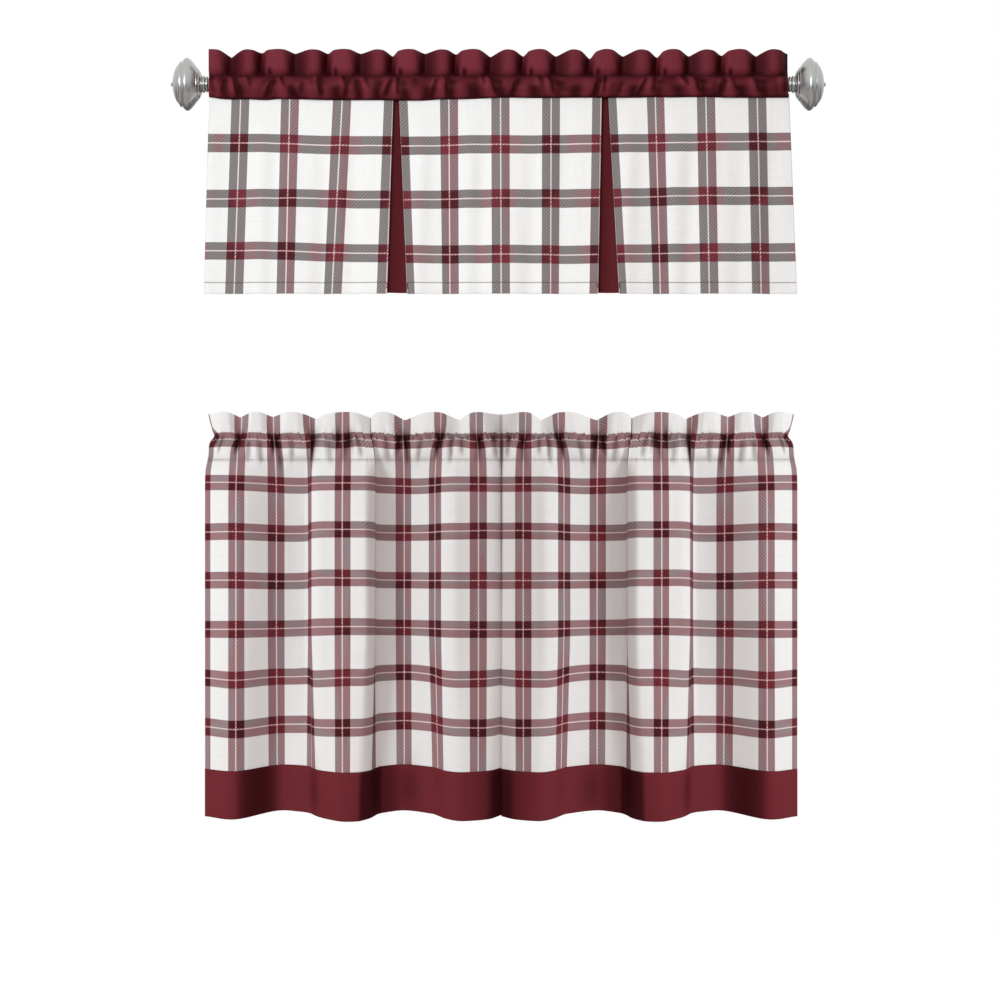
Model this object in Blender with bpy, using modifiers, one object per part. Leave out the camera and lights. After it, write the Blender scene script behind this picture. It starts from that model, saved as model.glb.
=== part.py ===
"""Kitchen curtain set: a valance on its curtain rod above a pair of tiers.

Metres, +Z up, +X to the viewer's right, -Y towards the room.
The origin is on the rod's axis at the middle of the set.
"""
import math
from bisect import bisect_right
from collections import namedtuple

import bmesh
import bpy

MM = 0.001

# Cloth
CLOTH = 1.2 * MM
DOUBLED_CLOTH = 2.0 * MM
PIECE_CLEARANCE = 0.5 * MM

# Rod and finials
ROD_RADIUS = 8.0 * MM
ROD_FIT = 0.3 * MM
ROD_IN_COLLAR = 10.0 * MM
ROD_SIDES = 24
FINIAL_STEPS = 24
ROD_LEFT_END = -438.5 * MM
ROD_RIGHT_END = 432.0 * MM

# Valance heights above the rod's axis
VALANCE_TOP = 53.0 * MM
VALANCE_STITCH = 12.0 * MM
VALANCE_SEAM = -22.0 * MM
VALANCE_PANEL_TOP = -18.0 * MM
VALANCE_HEM = -313.0 * MM
HEADING_LEFT = -437.0 * MM

# Tier heights, the same way
TIER_TOP = -492.0 * MM
TIER_STITCH = -528.0 * MM
TIER_LOWER_STITCH = -563.0 * MM
TIER_HEADING_END = -566.0 * MM
TIER_BAND_TOP = -1026.0 * MM
TIER_HEM = -1098.0 * MM
TIER_MIDDLE = 1.0 * MM
TIER_REACH = 444.0 * MM           # from the middle of the pair to each outer hem

# How a ruffle stands: its lobes come forward of the stitching, its tucks go back
RUFFLE_FORWARD = 9.0 * MM
RUFFLE_BACK = 8.0 * MM
POCKET_PUCKER = 1.2 * MM
STITCH_PUCKER = 1.0 * MM

# Each column of a table is in millimetres unless its name says otherwise.
# A finial's profile: distance out from the collar's inner end, and radius.
Turned = namedtuple("Turned", "out radius")
FINIAL_PROFILE = (
    Turned(0.0, 11.0),
    Turned(1.7, 11.8),
    Turned(3.4, 11.0),
    Turned(3.9, 9.8),
    Turned(4.5, 12.2),
    Turned(6.2, 13.0),
    Turned(8.2, 12.2),
    Turned(9.3, 11.6),
    Turned(13.0, 18.4),
    Turned(16.2, 22.4),
    Turned(17.8, 24.4),
    Turned(23.7, 31.2),
    Turned(31.5, 39.2),
    Turned(33.0, 39.4),
    Turned(42.0, 32.6),
    Turned(50.0, 23.6),
    Turned(54.3, 12.0),
    Turned(55.2, 3.0),
    Turned(57.0, 0.0),
)

# The valance ruffle's tucks: distance from the heading's left end, how far the top edge
# dips there, and how much the lobe to the tuck's right comes forward (share of a whole lobe).
Tuck = namedtuple("Tuck", "place dip next_lobe")
VALANCE_TUCKS = (
    Tuck(0, 3, 0.9),
    Tuck(30, 11, 0.8),
    Tuck(75, 5, 1.0),
    Tuck(129, 5, 0.8),
    Tuck(174, 6, 1.0),
    Tuck(225, 5, 0.8),
    Tuck(272, 9, 1.0),
    Tuck(324, 5, 0.8),
    Tuck(370, 6, 1.0),
    Tuck(422, 10, 0.8),
    Tuck(471, 9, 1.0),
    Tuck(520, 9, 0.8),
    Tuck(567, 13, 1.0),
    Tuck(621, 9, 0.8),
    Tuck(669, 6, 1.0),
    Tuck(720, 9, 0.8),
    Tuck(765, 10, 1.0),
    Tuck(817, 10, 0.9),
    Tuck(868, 5, 0.9),
)
# A tier ruffle's tucks, placed in stripes of the check across its cloth from the outer hem.
TIER_TUCKS = (
    Tuck(0.00, 3, 0.7),
    Tuck(0.94, 8, 0.6),
    Tuck(1.97, 7, 1.0),
    Tuck(3.16, 10, 0.8),
    Tuck(5.00, 11, 0.8),
    Tuck(6.05, 12, 0.8),
    Tuck(7.55, 12, 0.8),
    Tuck(8.55, 3, 0.7),
)

# A tier's folds: stripes of the check across its cloth, distance across from the outer hem
# at the gathers and where it hangs free, and how far the cloth comes forward there.
Fold = namedtuple("Fold", "stripe across_head across_hung forward")
TIER_FOLDS = (
    Fold(0.00, 6, 0, 3),
    Fold(1.00, 55, 46, 16),
    Fold(2.00, 102, 106, -11),
    Fold(2.75, 140, 147, -19),
    Fold(2.93, 152, 158, -9),
    Fold(3.07, 160, 157, 6),
    Fold(3.25, 170, 166, 21),
    Fold(4.00, 207, 205, 30),
    Fold(4.75, 239, 245, 22),
    Fold(4.93, 246, 255, 11),
    Fold(5.07, 251, 254, -3),
    Fold(5.25, 260, 259, -16),
    Fold(6.00, 296, 298, -22),
    Fold(6.80, 343, 337, -10),
    Fold(7.00, 354, 347, 1),
    Fold(7.20, 363, 356, 12),
    Fold(7.70, 390, 386, 19),
    Fold(8.20, 418, 421, 6),
    Fold(8.55, 441, 442, -5),
)

# Down a tier: height, share of the folds' depth, share of the way from the gathered to the
# hung places, and how much lower the cloth hangs for each millimetre that it comes forward.
Level = namedtuple("Level", "height fold_share hung_share droop")
TIER_LEVELS = (
    Level(-1098, 1.00, 1.0, 0.17),
    Level(-1026, 1.00, 1.0, 0.13),
    Level(-888, 1.00, 1.0, 0.12),
    Level(-760, 1.00, 1.0, 0.00),
    Level(-640, 1.00, 1.0, -0.04),
    Level(-600, 0.78, 1.0, -0.04),
    Level(-566, 0.32, 0.9, 0.0),
    Level(-556, 0.12, 0.8, 0.0),
    Level(-546, 0.06, 0.7, 0.0),
    Level(-528, 0.06, 0.2, 0.0),
    Level(-492, 0.12, 0.0, 0.0),
)

# A heading's cross-section: share of the ruffle's height above the stitching or of the
# pocket's depth below it, and half the distance between the front and back layers.
Layer = namedtuple("Layer", "share half_depth")
RUFFLE_LAYERS = (
    Layer(1.00, 0.0),
    Layer(0.97, 1.4),
    Layer(0.50, 1.7),
    Layer(0.00, 1.4),
)
VALANCE_POCKET_FRONT = (
    Layer(0.13, 9.0),
    Layer(0.35, 11.4),
    Layer(0.62, 10.2),
    Layer(0.84, 5.2),
    Layer(1.00, 2.8),
)
VALANCE_POCKET_BACK = (
    Layer(0.13, 9.0),
    Layer(0.35, 11.2),
    Layer(0.60, 9.2),
    Layer(0.84, 2.4),
)
TIER_POCKET_FRONT = (
    Layer(0.20, 7.0),
    Layer(0.50, 8.6),
    Layer(0.80, 6.4),
    Layer(1.00, 1.4),
)
TIER_POCKET_BACK = TIER_POCKET_FRONT

# The valance's panels: places of their side edges at the top and at the hem, and which
# edges are folded back as the sides of a pleat.
Panel = namedtuple("Panel", "name left_top left_hem right_top right_hem pleat_left pleat_right")
VALANCE_PANELS = (
    Panel("valance_panel_left", -437, -445, -161, -170, False, True),
    Panel("valance_panel_centre", -152, -140, 152, 146, True, True),
    Panel("valance_panel_right", 162, 178, 433, 445, True, False),
)
# A panel's turned-back edge: distance in from the fold, and distance behind the panel's face.
Turn = namedtuple("Turn", "inward behind")
PANEL_TURN = (
    Turn(13.0, 4.6),
    Turn(1.6, 4.2),
    Turn(0.0, 2.1),
    Turn(1.6, 0.0),
)
INSET_BEHIND = 7.4 * MM
INSET_UNDER_PANEL = 10.0 * MM
INSET_HEM_RISE = 1.5 * MM
PANEL_SWAY = 3.5 * MM             # how far the hem swings in and out
SWAY_LENGTH = 168.0 * MM

# How finely the cloth is divided
LOBE_STEPS = 4
STRIPE_STEP = 0.30
DROP_HEIGHTS = (
    TIER_HEADING_END - PIECE_CLEARANCE,
    -600.0 * MM,
    -640.0 * MM,
    -760.0 * MM,
    -888.0 * MM,
    TIER_BAND_TOP + PIECE_CLEARANCE,
)
BAND_HEIGHTS = (TIER_BAND_TOP, (TIER_BAND_TOP + TIER_HEM) / 2, TIER_HEM)
PANEL_ACROSS_STEPS = 12
PANEL_DOWN_STEPS = 4

FRONT, BACK = -1, 1
LEFT, RIGHT = -1, 1

INSET_ACROSS_STEPS = 4
MERGE_DISTANCE = 0.1 * MM
ROD_EDGE_ANGLE = math.radians(40)

# Colours (red, green, blue) and finishes
BURGUNDY = (0.085, 0.013, 0.020)
CHECK = (0.62, 0.50, 0.49)
NICKEL = (0.50, 0.50, 0.49)
CLOTH_ROUGHNESS = 0.8
METAL_ROUGHNESS = 0.3


def on_curve(rows, column, place):
    """A column's value at a place along the rows' first column, on a smooth curve."""
    places = [row[0] for row in rows]
    values = [getattr(row, column) for row in rows]
    last = len(rows) - 1
    start = min(max(bisect_right(places, place) - 1, 0), last - 1)
    span = places[start + 1] - places[start]
    share = min(max((place - places[start]) / span, 0.0), 1.0)

    def slope(row):
        before, after = max(row - 1, 0), min(row + 1, last)
        return (values[after] - values[before]) / (places[after] - places[before])

    square, cube = share ** 2, share ** 3
    return ((2 * cube - 3 * square + 1) * values[start]
            + (cube - 2 * square + share) * span * slope(start)
            + (3 * square - 2 * cube) * values[start + 1]
            + (cube - square) * span * slope(start + 1))


def lobe(tucks, place):
    """How far out of its tucks the ruffle is at a place, 0 to 1, and its top edge's dip."""
    places = [tuck.place for tuck in tucks]
    start = min(max(bisect_right(places, place) - 1, 0), len(tucks) - 2)
    tuck, next_tuck = tucks[start], tucks[start + 1]
    share = (place - tuck.place) / (next_tuck.place - tuck.place)
    crest = math.sin(math.pi * min(max(share, 0.0), 1.0))
    dip = (1 - crest) * (tuck.dip + (next_tuck.dip - tuck.dip) * share) * MM
    return crest * tuck.next_lobe, dip


def divided(places, length):
    """The places, with even steps between them close to a given length."""
    result = [places[0]]
    for start, end in zip(places, places[1:]):
        count = max(1, round((end - start) / length))
        result += [start + (end - start) * (step + 1) / count for step in range(count)]
    return result


def material(name, colour, roughness, metallic=0.0):
    """A plain finish for one piece."""
    finish = bpy.data.materials.new(name)
    finish.use_nodes = True
    shader = finish.node_tree.nodes["Principled BSDF"]
    shader.inputs["Base Color"].default_value = (*colour, 1.0)
    shader.inputs["Roughness"].default_value = roughness
    shader.inputs["Metallic"].default_value = metallic
    return finish


def add_object(name, mesh, collection, finish):
    """Put a mesh in the collection as a named piece."""
    piece = bpy.data.objects.new(name, mesh)
    mesh.materials.append(finish)
    collection.objects.link(piece)
    return piece


def cloth(name, courses, collection, colour, thickness=CLOTH):
    """A sheet of cloth lofted through courses of points, which all have the same count."""
    build = bmesh.new()
    rows = [[build.verts.new(point) for point in course] for course in courses]
    for upper, lower in zip(rows, rows[1:]):
        for index in range(len(upper) - 1):
            build.faces.new((upper[index], lower[index], lower[index + 1], upper[index + 1]))
    mesh = bpy.data.meshes.new(name)
    build.to_mesh(mesh)
    build.free()
    mesh.shade_smooth()
    piece = add_object(name, mesh, collection, material(name, colour, CLOTH_ROUGHNESS))
    solid = piece.modifiers.new("Cloth thickness", 'SOLIDIFY')
    solid.thickness = thickness
    solid.offset = 0.0
    return piece


def heading_courses(front, back):
    """The rows of a heading's section, from the back pocket over the ruffle to the front."""
    rows = [(BACK, "pocket", layer) for layer in reversed(back)]
    rows += [(BACK, "ruffle", layer) for layer in reversed(RUFFLE_LAYERS)]
    rows += [(FRONT, "ruffle", layer) for layer in RUFFLE_LAYERS[1:]]
    rows += [(FRONT, "pocket", layer) for layer in front]
    return rows


def valance_heading(collection):
    """The gathered strip: a ruffle above the stitching and a pocket round the rod."""
    places = [tuck.place for tuck in VALANCE_TUCKS]
    across = []
    for start, end in zip(places, places[1:]):
        across += [start + (end - start) * step / LOBE_STEPS for step in range(LOBE_STEPS)]
    across.append(places[-1])
    courses = []
    for side, zone, layer in heading_courses(VALANCE_POCKET_FRONT, VALANCE_POCKET_BACK):
        course = []
        for place in across:
            forward, dip = lobe(VALANCE_TUCKS, place)
            half = layer.half_depth * MM
            if zone == "ruffle":
                height = VALANCE_STITCH + layer.share * (VALANCE_TOP - dip - VALANCE_STITCH)
                wave = forward * (RUFFLE_FORWARD + RUFFLE_BACK) - RUFFLE_BACK
                depth = side * half - wave * layer.share
            else:
                height = VALANCE_STITCH + layer.share * (VALANCE_SEAM - VALANCE_STITCH)
                pucker = POCKET_PUCKER * forward * math.sin(math.pi * layer.share)
                depth = side * (half + pucker)
            course.append((HEADING_LEFT + place * MM, depth, height))
        courses.append(course)
    return cloth("valance_heading", courses, collection, BURGUNDY)


def sway(across, height):
    """How far forward the valance's panels swing, nothing at the top and most at the hem."""
    share = (VALANCE_PANEL_TOP - height) / (VALANCE_PANEL_TOP - VALANCE_HEM)
    return PANEL_SWAY * share * math.cos(2 * math.pi * across / SWAY_LENGTH)


def valance_panel(panel, collection):
    """One checked panel, with a narrow turned-back edge at each pleat beside it."""
    courses = []
    for step in range(PANEL_DOWN_STEPS + 1):
        down = step / PANEL_DOWN_STEPS
        height = VALANCE_PANEL_TOP + (VALANCE_HEM - VALANCE_PANEL_TOP) * down
        left = (panel.left_top + (panel.left_hem - panel.left_top) * down) * MM
        right = (panel.right_top + (panel.right_hem - panel.right_top) * down) * MM
        turn_left = PANEL_TURN[-1].inward * MM if panel.pleat_left else 0.0
        turn_right = PANEL_TURN[-1].inward * MM if panel.pleat_right else 0.0
        face = [left + turn_left + (right - left - turn_left - turn_right) * index
                / PANEL_ACROSS_STEPS for index in range(PANEL_ACROSS_STEPS + 1)]
        places = [(place, 0.0) for place in face]
        if panel.pleat_left:
            places = [(left + turn.inward * MM, turn.behind * MM) for turn in PANEL_TURN[:-1]] + places
        if panel.pleat_right:
            places += [(right - turn.inward * MM, turn.behind * MM) for turn in PANEL_TURN[-2::-1]]
        courses.append([(across, behind - sway(across, height), height)
                        for across, behind in places])
    return cloth(panel.name, courses, collection, CHECK)


def pleat_inset(name, left_panel, right_panel, collection):
    """The plain strip that shows in the opening pleat between two panels."""
    courses = []
    for step in range(PANEL_DOWN_STEPS + 1):
        down = step / PANEL_DOWN_STEPS
        height = VALANCE_PANEL_TOP + (VALANCE_HEM + INSET_HEM_RISE - VALANCE_PANEL_TOP) * down
        left = left_panel.right_top + (left_panel.right_hem - left_panel.right_top) * down
        right = right_panel.left_top + (right_panel.left_hem - right_panel.left_top) * down
        start = left * MM - INSET_UNDER_PANEL
        width = (right - left) * MM + 2 * INSET_UNDER_PANEL
        places = [start + width * index / INSET_ACROSS_STEPS
                  for index in range(INSET_ACROSS_STEPS + 1)]
        courses.append([(across, INSET_BEHIND - sway(across, height), height)
                        for across in places])
    return cloth(name, courses, collection, BURGUNDY)


def tier_place(stripe, height, hand):
    """Where a tier's cloth hangs: across, and how far forward, at a stripe and a height."""
    level = height / MM
    fold_share = on_curve(TIER_LEVELS, "fold_share", level)
    hung_share = on_curve(TIER_LEVELS, "hung_share", level)
    head = on_curve(TIER_FOLDS, "across_head", stripe)
    hung = on_curve(TIER_FOLDS, "across_hung", stripe)
    across = (head + (hung - head) * hung_share) * MM
    forward = on_curve(TIER_FOLDS, "forward", stripe) * fold_share * MM
    return TIER_MIDDLE + hand * (TIER_REACH - across), forward


def tier_stripes():
    """Places across a tier's cloth, in stripes, with every turn of its folds among them."""
    return divided([fold.stripe for fold in TIER_FOLDS], STRIPE_STEP)


def tier_heading(name, hand, collection):
    """The tier's top: a ruffle above the stitching and an empty pocket for a rod below it."""
    stripes = tier_stripes()
    courses = []
    for side, zone, layer in heading_courses(TIER_POCKET_FRONT, TIER_POCKET_BACK):
        course = []
        for stripe in stripes:
            out, dip = lobe(TIER_TUCKS, stripe)
            half = layer.half_depth * MM
            if zone == "ruffle":
                height = TIER_STITCH + layer.share * (TIER_TOP - dip - TIER_STITCH)
                wave = (out * (RUFFLE_FORWARD + RUFFLE_BACK) - RUFFLE_BACK) * layer.share
            else:
                height = TIER_STITCH + layer.share * (TIER_LOWER_STITCH - TIER_STITCH)
                wave = 0.0
            across, forward = tier_place(stripe, height, hand)
            course.append((across, side * half - wave - forward, height))
        courses.append(course)
    last = TIER_POCKET_FRONT[-1].half_depth * MM
    course = []
    for stripe in stripes:
        across, forward = tier_place(stripe, TIER_HEADING_END, hand)
        course.append((across, FRONT * last - forward, TIER_HEADING_END))
    courses.append(course)
    return cloth(name, courses, collection, CHECK)


def tier_sheet(name, heights, hand, collection, colour, thickness):
    """A stretch of a tier that hangs free below its heading, on the tier's folds."""
    face = TIER_POCKET_FRONT[-1].half_depth * MM
    courses = []
    for height in heights:
        droop = on_curve(TIER_LEVELS, "droop", height / MM)
        course = []
        for stripe in tier_stripes():
            across, forward = tier_place(stripe, height, hand)
            course.append((across, FRONT * face - forward, height - droop * forward))
        courses.append(course)
    return cloth(name, courses, collection, colour, thickness)


def rod(collection):
    """The straight rod, whose ends sit inside the finials' collars."""
    left, right = ROD_LEFT_END - ROD_IN_COLLAR, ROD_RIGHT_END + ROD_IN_COLLAR
    bpy.ops.mesh.primitive_cylinder_add(vertices=ROD_SIDES, radius=ROD_RADIUS, depth=right - left)
    piece = bpy.context.object
    piece.name = "rod"
    piece.rotation_euler = (0.0, math.pi / 2, 0.0)
    piece.location = ((left + right) / 2, 0.0, 0.0)
    piece.data.materials.append(material("rod", NICKEL, METAL_ROUGHNESS, 1.0))
    piece.data.shade_smooth()
    piece.data.set_sharp_from_angle(angle=ROD_EDGE_ANGLE)
    for holder in piece.users_collection:
        holder.objects.unlink(piece)
    collection.objects.link(piece)
    return piece


def finial(name, place, hand, collection):
    """A turned finial: collar with a bore for the rod, bead, flaring back, rim and domed face."""
    outline = [(row.radius * MM, row.out * MM) for row in reversed(FINIAL_PROFILE)]
    bore = ROD_RADIUS + ROD_FIT
    depth = ROD_IN_COLLAR + ROD_FIT
    outline += [(bore, 0.0), (bore, depth), (0.0, depth)]
    mesh = bpy.data.meshes.new(name)
    edges = [(index, index + 1) for index in range(len(outline) - 1)]
    mesh.from_pydata([(radius, 0.0, out) for radius, out in outline], edges, [])
    piece = add_object(name, mesh, collection, material(name, NICKEL, METAL_ROUGHNESS, 1.0))
    piece.location = (place, 0.0, 0.0)
    piece.rotation_euler = (0.0, hand * math.pi / 2, 0.0)
    turn = piece.modifiers.new("Turned", 'SCREW')
    turn.steps = FINIAL_STEPS
    turn.render_steps = FINIAL_STEPS
    turn.use_merge_vertices = True
    turn.merge_threshold = MERGE_DISTANCE
    turn.use_smooth_shade = True
    return piece


def build():
    """Make the whole set in an emptied scene."""
    for old in list(bpy.data.objects):
        bpy.data.objects.remove(old)
    collection = bpy.data.collections.new("kitchen_curtain_set")
    bpy.context.scene.collection.children.link(collection)

    rod(collection)
    finial("finial_left", ROD_LEFT_END, LEFT, collection)
    finial("finial_right", ROD_RIGHT_END, RIGHT, collection)
    valance_heading(collection)
    for panel in VALANCE_PANELS:
        valance_panel(panel, collection)
    left_panel, centre_panel, right_panel = VALANCE_PANELS
    pleat_inset("pleat_inset_left", left_panel, centre_panel, collection)
    pleat_inset("pleat_inset_right", centre_panel, right_panel, collection)
    for word, hand in (("left", LEFT), ("right", RIGHT)):
        tier_heading(f"tier_{word}_heading", hand, collection)
        tier_sheet(f"tier_{word}_drop", DROP_HEIGHTS, hand, collection, CHECK, CLOTH)
        tier_sheet(f"tier_{word}_band", BAND_HEIGHTS, hand, collection, BURGUNDY, DOUBLED_CLOTH)


build()
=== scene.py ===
"""Kitchen curtain set: a pleated valance on its rod above a pair of tiers, as it looks when hung.

Metres, +Z up, -Y towards the room; the origin is on the rod's axis at the middle of the set.
"""

import math
from collections import namedtuple

import bpy
import numpy as np
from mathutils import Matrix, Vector


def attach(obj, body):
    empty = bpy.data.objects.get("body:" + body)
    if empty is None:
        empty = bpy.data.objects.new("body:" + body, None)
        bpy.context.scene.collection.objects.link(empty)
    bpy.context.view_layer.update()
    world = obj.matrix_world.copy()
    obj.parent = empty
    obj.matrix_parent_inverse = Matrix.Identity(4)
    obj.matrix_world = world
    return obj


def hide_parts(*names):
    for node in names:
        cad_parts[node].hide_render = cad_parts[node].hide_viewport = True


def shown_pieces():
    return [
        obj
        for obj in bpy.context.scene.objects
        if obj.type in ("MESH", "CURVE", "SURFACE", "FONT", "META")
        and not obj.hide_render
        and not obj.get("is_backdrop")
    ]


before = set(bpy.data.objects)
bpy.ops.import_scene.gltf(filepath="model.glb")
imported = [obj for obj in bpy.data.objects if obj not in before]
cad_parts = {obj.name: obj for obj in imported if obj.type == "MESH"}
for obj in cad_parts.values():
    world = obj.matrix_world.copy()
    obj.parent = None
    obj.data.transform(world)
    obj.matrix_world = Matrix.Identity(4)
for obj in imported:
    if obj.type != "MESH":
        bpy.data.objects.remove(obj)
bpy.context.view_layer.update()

MM = 0.001
FRONT, BACK = -1, 1
LEFT, RIGHT = -1, 1


def table(kind, *rows):
    """Rows of one kind of named tuple; places, heights and depths in them are in millimetres."""
    return tuple(kind(*row) for row in rows)


# Cloth thickness, and how the bands' two layers lie
CHECK_THICKNESS = 0.7 * MM
PLAIN_THICKNESS = 0.7 * MM
BAND_LAYER_THICKNESS = 0.6 * MM
BAND_HALF_DEPTH = 1.15 * MM  # from the middle of a tier's band to each of its two layers
BAND_ROW = 5 * MM  # length of cloth from one row of the band's mesh to the next

# How finely the sheets are laid out: points across, rows of a heading's pocket and ruffle, rows
# of a tier's pocket and of its drop, and of one layer of its band
HEADING_COLUMNS = 500
PANEL_COLUMNS = 130
INSET_COLUMNS = 26
TIER_COLUMNS = 250
VALANCE_SECTION = (14, 16)
TIER_SECTION = (8, 14)
TIER_POCKET_ROWS = 18
TIER_DROP_ROWS = 96
BAND_ROWS = 15
PANEL_ROW = 4 * MM
INSET_ROW = 6 * MM

# Heights above the rod's axis
VALANCE_TOP = 51.5 * MM
VALANCE_STITCH = 12.0 * MM
VALANCE_SEAM = -22.0 * MM
PANEL_TOP = -18.0 * MM
PANEL_SEWN_TOP = -14.0 * MM  # the panels run up this far between the pocket's layers
PANEL_HEM = -313.0 * MM
PANEL_HEM_STITCH = -297.3 * MM
TIER_TOP = -492.0 * MM
TIER_STITCH = -528.0 * MM
TIER_LOWER_STITCH = -563.0 * MM
TIER_BAND_TOP = -1026.0 * MM
TIER_HEM = -1097.0 * MM
TIER_GATHER_LINE = -535  # the check's first row, just below the stitching
GATHER_REACH = 17  # how far from that line its waves reach
TIER_SEAM_TUCK = 4.0 * MM  # how far the check cloth runs down inside the band
TIER_EDGE_TURN = 10.5 * MM  # how much of the outermost stripe turns back in the ruffle

# Places across
HEADING_LEFT = -437.0 * MM
TIER_MIDDLE = 1.0 * MM
TIER_REACH = 444.0
TIER_WIDTH = 8.55  # stripes of the check across one tier's cloth

# The two checks: pitch across and down, width of one band and of the line between two bands
Check = namedtuple("Check", "across down band line")
TIER_CHECK = Check(73.0 * MM, 73.0 * MM, 11.7 * MM, 1.6 * MM)
VALANCE_CHECK = Check(76.0 * MM, 81.0 * MM, 12.6 * MM, 1.8 * MM)

# Their yarns: widths, how the slubs are drawn out along weft and warp, and how softly a stripe ends.
CHECK_YARN = 0.6 * MM
PLAIN_YARN = 0.45 * MM
SLUB_STRETCHES = ((900.0, 14.0, 1.0), (14.0, 900.0, 1.0))
STRIPE_BLUR = 0.4 * MM

# The bands' twill: half the pitch of its wales, their darker and lighter strengths, share of it
# that has drifted to rose, and how the drift runs in the upright and in the level bands.
Twill = namedtuple("Twill", "wale strengths rose_share stretches")
TIER_TWILL = Twill(2.4 * MM, (0.74, 1.50), 0.62, ((62.0, 9.0), (9.0, 62.0)))
VALANCE_TWILL = Twill(2.5 * MM, (0.74, 1.28), 0.25, ((34.0, 3.0), (34.0, 3.0)))

# Colours: the check's grey and rose twills and its crossings, off-white yarns, the line between
# two bands and its dots where it crosses a band, and the painted shade that darkens tucks and folds.
Dyes = namedtuple("Dyes", "grey rose crossing")
TIER_DYES = Dyes((0.272, 0.203, 0.210), (0.298, 0.163, 0.175), (0.100, 0.014, 0.020))
VALANCE_DYES = Dyes((0.217, 0.197, 0.192), (0.275, 0.158, 0.168), (0.112, 0.020, 0.028))
WHITE_YARNS = ((0.84, 0.825, 0.815), (0.88, 0.87, 0.86))
LINE_YARN = (0.80, 0.69, 0.69)
DOT_YARNS = ((0.30, 0.11, 0.13), (0.72, 0.46, 0.47))
WHITE_SHADOW = (0.16, 0.09, 0.085)
BURGUNDY_SHADOW = (0.030, 0.0015, 0.003)

# Painted shade: how dark plain cloth is painted on a level stretch, the depth of a crease that
# is painted wholly dark in each cloth, and how much folds turned from the light darken a tier's check cloth
# and its band.
PLAIN_SHADE = 0.46
POCKET_SHADE_DEPTH = 2.7 * MM
TIER_SHADE_DEPTH = 8 * MM
TIER_FOLD_SHADE = 0.09
BAND_FOLD_SHADE = 0.95

# The studio: its light from below and from above, the same as metal mirrors it, and the camera.
SKY = ((0.34, 0.30, 0.29), (0.68, 0.62, 0.61))
MIRRORED_SKY = ((0.16, 0.16, 0.16), (0.95, 0.95, 0.95))
LAMP_COLOUR = (0.88, 0.98, 1.0)
LAMP_SPREAD = 120
CAMERA_LENS = 105.6
CAMERA_PLACE = (-0.75 * MM, -4.4, -623.5 * MM)

# How the ruffles stand
RUFFLE_FORWARD = 9.0 * MM
RUFFLE_BACK = 8.0 * MM
RUFFLE_HALF_GAP = 1.5 * MM
RUFFLE_TOP_TURN = 0.96  # share of the height where the top fold starts to close
STITCH_SHARE = 0.2  # share of the ruffle's wave that is left at the stitching
RUFFLE_BULGE = 3.5  # how quickly a lobe swells above the stitching
LOBE_SAG = 0.22  # share by which a lobe stands out further just above the stitching
POCKET_PUCKER = 1.7 * MM
LOBE_PLATEAU = 0.86  # share of a lobe's swell that is flat on top, the rest a plain arch
DIP_ARCH = 0.72  # the same for its top edge, where this much is a plain arch
LOBE_DENT = 3.2 * MM  # dent at the lower left of a wide lobe
DENT_PLACE = 0.21  # share of the way across the lobe
CREASE_RIDGE = 0.6  # how high a crease's one lip stands, as a share of its depth
ROD_ROOM = 8.9 * MM  # the pocket's cloth keeps at least this far from the rod's axis

# How strongly the cloth puckers along the tiers' upper and lower stitching, how much deeper the
# tiers' creases are below the stitching than in the ruffle, and how far the tucks are drawn up.
TIER_PUCKER = 6.0
LOWER_STITCH_PUCKER = 1.5
TIER_CREASE_GAIN = 2.9
TUCK_PULL = 2.4 * MM

# Unevenness of gathered cloth, as waves: size, turn for each millimetre, and where they start.
SineWave = namedtuple("SineWave", "size turn start")
PUCKER_DEPTH = 0.3 * MM
PUCKER_WAVES = table(SineWave, (1, 0.83, 0), (0.7, 1.37, 1.1), (0.5, 0.47, 2.3), (0.4, 2.13, 0.6))
RUMPLE_WAVES = table(SineWave, (1, 1 / 5.9, 0.4), (0.8, 1 / 9.7, 2), (0.6, 1 / 4.1, 0))

# Lobes of a ruffle: shares of the lobe over which it comes forward and goes back again,
# at the top edge and at the stitching.
Lobe = namedtuple("Lobe", "rise_top rise_low fall_top fall_low")
LOBES = {
    "wide": Lobe(0.20, 0.16, 0.36, 0.22),
    "tapered": Lobe(0.55, 0.62, 0.30, 0.26),
    "soft": Lobe(0.42, 0.34, 0.42, 0.34),
}
# Painted shade across a lobe of the valance's ruffle, from its left tuck to its right one, darker where it
# turns from the light.
Shade = namedtuple("Shade", "share depth")
LOBE_SHADES = {
    "wide": table(Shade,
        (0, 0.9), (0.05, 0.3), (0.13, 0.05), (0.58, 0.02), (0.74, 0.32), (0.9, 0.95), (1, 1),
    ),
    "tapered": table(Shade,
        (0, 1), (0.1, 0.88), (0.28, 0.62), (0.42, 0.28), (0.54, 0.16), (0.66, 0.26), (0.8, 0.72),
        (0.91, 1), (1, 1),
    ),
}
# Tucks between the lobes: place, dip of the top edge there, share by which the lobe to the
# right comes forward, and that lobe's kind. Millimetres on the valance, stripes on a tier.
Tuck = namedtuple("Tuck", "place dip next_lobe kind")
VALANCE_TUCKS = table(Tuck,
    (-24, 3, 0.9, "wide"), (33, 11, 0.8, "tapered"), (79, 4, 1, "wide"), (129, 5, 0.8, "tapered"),
    (178, 5, 1, "wide"), (227, 5, 0.8, "tapered"), (275, 9, 1, "wide"), (324, 5, 0.8, "tapered"),
    (370, 6, 1, "wide"), (422, 10, 0.8, "tapered"), (471, 9, 1, "wide"), (520, 9, 0.8, "tapered"),
    (571, 13, 1, "wide"), (621, 9, 0.8, "tapered"), (672, 11, 1, "wide"), (720, 9, 0.8, "tapered"),
    (769, 8, 1, "wide"), (821, 9, 0.9, "tapered"), (868, 5, 0.9, "tapered"),
)
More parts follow.
